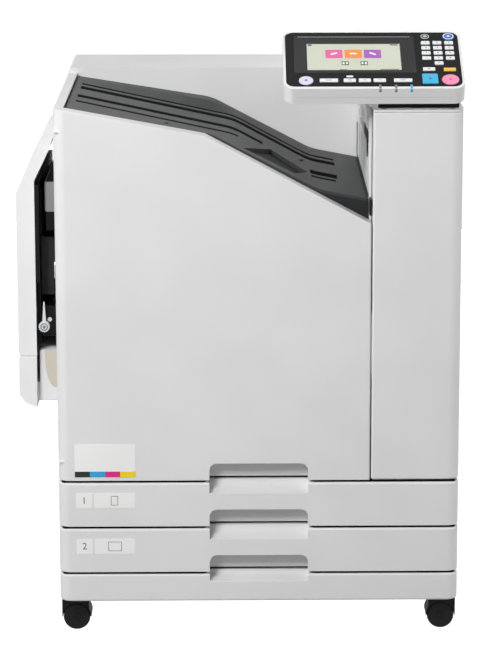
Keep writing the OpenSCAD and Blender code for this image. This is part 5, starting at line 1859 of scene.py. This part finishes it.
    def picture(self) -> None:
        """What the display shows: three coloured tiles, two small marks, and thin bars."""
        for i, (ink, degrees) in enumerate(zip(self.tile_inks, self.mark_turns)):
            shift = (i - 1) * self.tile_step
            tile = self.tile._replace(u=self.tile.u + shift)
            piece(f"display_tile_{i + 1}", self.drawn(tile), ink, "panel")
            mark = self.tile_mark._replace(u=self.tile_mark.u + shift)
            piece(f"display_mark_{i + 1}", self.drawn(mark, 1, degrees), Surface.LABEL, "panel")
        small = joined(map(self.drawn, self.small_marks))
        piece("display_small_marks", small, Surface.LEGEND, "panel")
        width, length, corner = self.window
        windows = joined(
            self.drawn(Mark(mark.u + off, mark.v, width, length, corner), 1)
            for mark in self.small_marks
            for off in self.window_off
        )
        piece("display_small_windows", windows, Surface.LABEL, "panel")
        piece("display_bars", joined(map(self.drawn, self.bars)), Surface.LEGEND, "panel")

    def cap(self, at: Spot, size: Iterable[float]) -> Mesh:
        """A key cap with a rounded upper rim.

        Args:
            at: Its middle on the panel.
            size: Its width, its length and, where it differs, its corner.

        Returns:
            The cap, in place.
        """
        width, length, corner = (*size, self.key_r)[:3]
        bm = slab(width, length, self.key_up + self.key_deep, corner, self.key_rim)
        return place(bm, self.seat(*at, -self.key_deep))

    def round_cap(self, at: Spot, radius: float) -> Mesh:
        """One round key cap."""
        bm = disc(radius, self.key_up + self.key_deep, self.round_rim)
        return place(bm, self.seat(*at, -self.key_deep))

    def on_key(self, bm: Mesh, at: Spot, up: float = 0.0) -> Mesh:
        """A print laid on a key's top, sunk a hair into it."""
        return place(bm, self.seat(*at, self.key_up - PRINT_SUNK + up))

    def keypad(self) -> None:
        """The numeric keys with their digits, the last one alone in a row below."""
        (u, v), (across, down) = self.share(self.digit_first), self.digit_step
        spots = [(u + column * across, v - row * down) for row in range(4) for column in range(3)]
        spots.append((u + across, v - 4 * down))
        caps = joined(self.cap(at, self.digit_key) for at in spots)
        keys = piece("numeric_key_caps", caps, Surface.KEY, "numeric_keys")
        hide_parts("numeric_keys")
        marks = joined(
            self.on_key(legend(digit, self.digit_h), at) for digit, at in zip(self.digits, spots)
        )
        piece("numeric_key_digits", marks, Surface.LEGEND, "numeric_keys")

    def function_row(self) -> None:
        """The bars of the lower row, the clear and reset keys and the two round keys."""
        body = "function_keys"
        wide, short = map(self.share, self.bar_keys), map(self.share, self.short_keys)
        rows = [(at, self.bar_key, self.bar_dash) for at in wide]
        rows += [(at, self.short_key, self.short_dash) for at in short]
        caps = joined(self.cap(at, size) for at, size, _ in rows)
        keys = piece("function_key_caps", caps, Surface.KEY, body)
        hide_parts("function_keys")
        id_at, wake_at = self.share(self.id_at), self.share(self.wake_at)
        reset = self.cap(self.share(self.reset_at), self.short_key)
        piece("reset_key_cap", reset, Surface.RESET_KEY, body)
        piece("id_key_cap", self.round_cap(id_at, self.id_r), Surface.ID_KEY, body)
        piece("wake_key_cap", self.round_cap(wake_at, self.wake_r), Surface.WAKE_KEY, body)
        marks = [self.on_key(slab(*dash, PRINT_T), at) for at, _, dash in rows]
        marks.append(self.on_key(disc(self.wake_dot_r, PRINT_T, sides=24), wake_at))
        piece("function_key_marks", joined(marks), Surface.LEGEND, body)
        for dot in self.id_dots:
            bm = self.on_key(disc(dot.radius, PRINT_T, sides=40), id_at, dot.up)
            piece(dot.name, bm, dot.ink, body)

    def big_keys(self) -> None:
        """The cyan start key and the pink stop key, each with a small printed mark."""
        start, stop = self.share(self.start_at), self.share(self.stop_at)
        cap = self.cap(start, self.start_key)
        key = piece("start_key_cap", cap, Surface.START_KEY, "start_key")
        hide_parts("start_key")
        cap = self.round_cap(stop, self.stop_r)
        key = piece("stop_key_cap", cap, Surface.STOP_KEY, "stop_key")
        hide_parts("stop_key")
        for body, at, radius in (
            ("start_key", start, self.start_dot_r),
            ("stop_key", stop, self.stop_dot_r),
        ):
            dot = self.on_key(disc(radius, PRINT_T, sides=24), at)
            piece(f"{body}_mark", dot, Surface.LEGEND, body)

    def lamps(self) -> None:
        """The indicator windows: three round the rim, a ringed dot and a small bar on the face."""
        for i, (u, ink) in enumerate(self.rim_lamps):
            parts = []
            for length, corner, at, lean in self.lamp_parts:
                bm = slab(self.lamp_w, length, self.lamp_t, corner, self.lamp_rim)
                parts.append(place(bm, self.seat(u, *at) @ turned(lean, "X")))
            piece(f"rim_lamp_{i + 1}", joined(parts), ink, "panel")
        for dot in self.card_dots:
            bm = disc(dot.radius, self.card_t, self.card_rim)
            piece(dot.name, place(bm, self.seat(*self.card_at, dot.up)), dot.ink, "panel")
        bar = place(slab(*self.mode_lamp), self.seat(*self.mode_lamp_at))
        piece("mode_lamp", bar, Surface.KEY, "panel")

    def build(self) -> None:
        """Builds the panel."""
        self.case()
        self.face()
        self.picture()
        self.keypad()
        self.function_row()
        self.big_keys()
        self.lamps()


@dataclass
class Castors:
    """The four twin-wheel castors: rounded hoods and treads, and a cap on each hub."""

    stock: Stock
    axle_z: float = 25.0
    hood_rim: float = 0.8
    tread_r: float = 2.4
    tread_part: float = 0.95
    hub_r: float = 9.0
    hub_t: float = 0.8
    hub_rim: float = 0.3
    hub_in: float = 0.3
    axles: dict[str, float] = field(
        default_factory=lambda: {"fl": -341.0, "fr": 341.0, "rl": -341.0, "rr": 341.0}
    )

    def build(self) -> None:
        """Builds the castors."""
        bench = self.stock.bench
        for end, x in self.axles.items():
            hood_rims = [(self.hood_rim, 2, sharp(4.0, 50.0))]
            self.stock.soften(f"castor_fork_{end}", Surface.BLACK, hood_rims)
            wheels = f"castor_wheels_{end}"
            self.stock.soften(wheels, Surface.TREAD, [(self.tread_r, 4, self.on_tread(x, end))])
            low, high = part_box(wheels)
            hubs = []
            for face_y, inset, turn in (
                (low.y, self.hub_in, FACING_FRONT),
                (high.y, -self.hub_in, FACING_BACK),
            ):
                y = (face_y - bench.front_y) / MM + inset
                hub = disc(self.hub_r, self.hub_t, self.hub_rim, sides=32)
                hubs.append(place(hub, bench.seat(x, y, self.axle_z, turn)))
            hub_body = self.stock.body_of[wheels]
            piece(f"castor_hubs_{end}", joined(hubs), Surface.BLACK, hub_body)

    def on_tread(self, x: float, end: str) -> EdgeTest:
        """A test for the rims of a castor's wheels, by their distance from the axle.

        Args:
            x: The axle's place, in machine millimetres.
            end: The castor's corner.

        Returns:
            The test.
        """
        axle = self.stock.bench.point(x, 0, self.axle_z)
        low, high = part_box(f"castor_wheels_{end}")
        least = (high.z - low.z) / 2 * self.tread_part

        def test(edge: Edge) -> bool:
            """Says whether both ends of an edge lie on the tread's rim.

            Args:
                edge: The edge.

            Returns:
                True where they do.
            """
            if len(edge.link_faces) != 2 or edge.calc_face_angle(0.0) < math.radians(50):
                return False
            return all(math.hypot(v.co.x - axle.x, v.co.z - axle.z) > least for v in edge.verts)

        return test


@dataclass
class Rollers:
    """The rubber rollers, each with a steel shaft that its finish tells apart."""

    stock: Stock
    shaft_r: float = 4.2
    sleeve: str = "#2A2A2C"
    steel: str = "#C4C7CA"
    axes: dict[str, Spot] = field(
        default_factory=lambda: {
            "feed_roller": (-388.0, 579.0),
            "pickup_roller_1": (150.0, 280.0),
            "pickup_roller_2": (150.0, 192.0),
            "exit_roller": (223.0, 900.0),
            "belt_roller": (158.0, 486.0),
        }
    )

    def build(self) -> None:
        """Gives each roller its finish."""
        for name, (x, z) in self.axes.items():
            node = self.stock.nodes[name]
            middle = self.stock.bench.point(x, 0.0, z) / MM
            # Ground rubber, dull and near black, on a bright shaft.
            finish = RollerFinish(
                f"sleeve_{name}",
                self.sleeve,
                self.steel,
                roughness=0.45,
                grain_mm=0.8,
                relief=0.15,
                axis_mm=(middle.x, middle.z),
                shaft_mm=self.shaft_r,
            )
            node.data.materials.clear()
            node.data.materials.append(finish.build())
            log.info("%s keeps its solid, as a sleeve on a shaft", name)


@dataclass
class Inside:
    """All that shows only when the door or a cassette is open."""

    stock: Stock
    ink_x: float = -250.1
    ink_pitch: float = 113.07
    ink_z: float = 381.0
    ink_label: tuple[float, ...] = (58.0, 44.0, 0.3, 2.0, 0.1)

    def build(self) -> None:
        """Dresses the inside."""
        paint = self.stock.paint
        paint(Surface.ZINC, "base_frame", "left_side_plate", "tower_side_plates")
        paint(Surface.ZINC, "cassette_divider", "engine_deck")
        paint(Surface.ZINC, "power_supply", "cassette_1_bin", "cassette_2_bin")
        paint(Surface.BRIGHT, "hinge_arms", "belt_platen")
        paint(Surface.SHELL, "door_liner")
        paint(Surface.TRAY, "print_heads", "ink_rack")
        paint(Surface.TRAY, "cassette_1_lift_plate", "cassette_2_lift_plate")
        paint(Surface.BLACK, "power_inlet", "power_switch", "fan_rotor", "transport_belt")
        paint(Surface.BOARD, "control_board")
        paint(Surface.CASING, "ink_cartridges")
        self.ink_labels()

    def ink_labels(self) -> None:
        """A coloured label on the front of each cartridge."""
        bench = self.stock.bench
        front = (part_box("ink_cartridges")[0].y - bench.front_y) / MM
        for i, ink in enumerate((Surface.LEGEND, Surface.CYAN, Surface.MAGENTA, Surface.YELLOW)):
            seat = bench.seat(self.ink_x + i * self.ink_pitch, front, self.ink_z, FACING_FRONT)
            piece(f"ink_label_{i + 1}", place(slab(*self.ink_label), seat), ink, "root")


class Lamp(NamedTuple):
    """A square lamp: its name, its place and the length of its side in metres, and its power."""

    name: str
    at: Place
    size: float
    watts: float


@dataclass
class Studio:
    """Pale floor, soft lamps, white surround, and the camera at the photograph's angle.

    The camera's place is in machine millimetres, its pitch and turn in degrees.
    """

    bench: Bench
    eye: Place = (-43.6, -4800.0, 1714.6)
    pitch: float = 11.49
    turn: float = -0.79
    lens: float = 149.76
    sensor: float = 36.0
    reach: float = 60.0
    shift: Spot = (-0.0316, -0.12)
    ambient: float = 0.1
    floor_colour: str = "#A6A6A6"
    floor_half: float = 14.0
    aim: Place = (0.0, 0.0, 0.55)
    lamps: tuple[Lamp, ...] = (
        Lamp("key", (-1.5, -2.9, 2.9), 1.3, 121.0),
        Lamp("fill", (0.8, -3.6, 1.3), 2.4, 3.0),
        Lamp("side", (-3.0, -1.2, 2.6), 1.8, 30.0),
        Lamp("right", (3.2, -0.4, 1.3), 1.6, 44.0),
        Lamp("top", (0.2, 0.2, 3.6), 2.4, 15.0),
        Lamp("back", (0.6, 3.6, 0.6), 1.2, 78.0),
    )

    def camera(self) -> None:
        """Sets the camera up."""
        lens = bpy.data.cameras.new("view")
        lens.lens, lens.sensor_width, lens.clip_end = self.lens, self.sensor, self.reach
        lens.shift_x, lens.shift_y = self.shift
        holder = bpy.data.objects.new("view", lens)
        holder.location = self.bench.point(*self.eye)
        holder.rotation_euler = (math.radians(90 - self.pitch), 0.0, math.radians(self.turn))
        bpy.context.scene.collection.objects.link(holder)
        bpy.context.scene.camera = holder

    def hang(self, lamp: Lamp) -> None:
        """Hangs a lamp, aimed at the middle of the machine.

        Args:
            lamp: The lamp.
        """
        light = bpy.data.lights.new(lamp.name, "AREA")
        light.shape, light.size, light.energy = "SQUARE", lamp.size, lamp.watts
        holder = bpy.data.objects.new(lamp.name, light)
        holder.location = lamp.at
        aim = Vector(self.aim) - Vector(lamp.at)
        holder.rotation_euler = aim.to_track_quat("-Z", "Y").to_euler()
        bpy.context.scene.collection.objects.link(holder)

    def shown(self, tree: Tree) -> Socket:
        """Picks out the rays that show the surround: seen, mirrored or through glass.

        Args:
            tree: The node tree.

        Returns:
            A socket that is 1 for such a ray and 0 for the rest.
        """
        path = add_node(tree, "ShaderNodeLightPath").outputs
        links = {0: path["Is Glossy Ray"], 1: path["Is Transmission Ray"]}
        mirrored = add_node(tree, "ShaderNodeMath", {"operation": "MAXIMUM"}, links)
        links = {0: path["Is Camera Ray"], 1: mirrored.outputs[0]}
        return add_node(tree, "ShaderNodeMath", {"operation": "MAXIMUM"}, links).outputs[0]

    def surround(self) -> None:
        """A world that shows as white and that lights the object softly."""
        world = bpy.data.worlds.new("surround")
        world.use_nodes = True
        tree = world.node_tree
        tree.nodes.clear()
        ends = {"To Min": self.ambient, "To Max": 1.0}
        level = add_node(tree, "ShaderNodeMapRange", ends, {"Value": self.shown(tree)})
        strength = {"Strength": level.outputs[0]}
        glow = add_node(tree, "ShaderNodeBackground", {"Color": WHITE}, strength)
        add_node(tree, "ShaderNodeOutputWorld", links={"Surface": glow.outputs[0]})
        bpy.context.scene.world = world

    def floor(self) -> None:
        """A pale floor that shows white to the camera and lights the machine from below."""
        bm = bmesh.new()
        bmesh.ops.create_grid(bm, x_segments=1, y_segments=1, size=self.floor_half)
        mesh = bpy.data.meshes.new("floor")
        bm.to_mesh(mesh)
        bm.free()
        material = bpy.data.materials.new("pale_floor")
        material.use_nodes = True
        tree = material.node_tree
        tree.nodes.clear()
        matt = add_node(tree, "ShaderNodeBsdfDiffuse", {"Color": linear(self.floor_colour)})
        strength = {"Strength": self.shown(tree)}
        glow = add_node(tree, "ShaderNodeEmission", {"Color": WHITE}, strength)
        sum_links = {0: matt.outputs[0], 1: glow.outputs[0]}
        whole = add_node(tree, "ShaderNodeAddShader", links=sum_links)
        add_node(tree, "ShaderNodeOutputMaterial", links={"Surface": whole.outputs[0]})
        mesh.materials.append(material)
        ground = bpy.data.objects.new("floor", mesh)
        bpy.context.scene.collection.objects.link(ground)

    def build(self) -> None:
        """Sets the whole studio up."""
        bpy.context.scene.view_settings.view_transform = "Standard"
        self.camera()
        self.surround()
        self.floor()
        for lamp in self.lamps:
            self.hang(lamp)


def main() -> None:
    """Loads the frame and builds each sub-assembly in turn."""
    logging.basicConfig(level=logging.INFO, format="%(name)s: %(message)s")
    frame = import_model()
    stock = Stock.from_frame(frame)
    Studio(stock.bench).build()
    for assembly in (
        FrontPanels(stock),
        BodyCovers(stock),
        OutputTray(stock),
        ExitUnit(stock),
        FeedUnit(stock),
        OperationPanel(stock),
        Castors(stock),
        Rollers(stock),
        Inside(stock),
    ):
        log.info("%s", type(assembly).__name__)
        assembly.build()


if __name__ == "__main__":
    main()
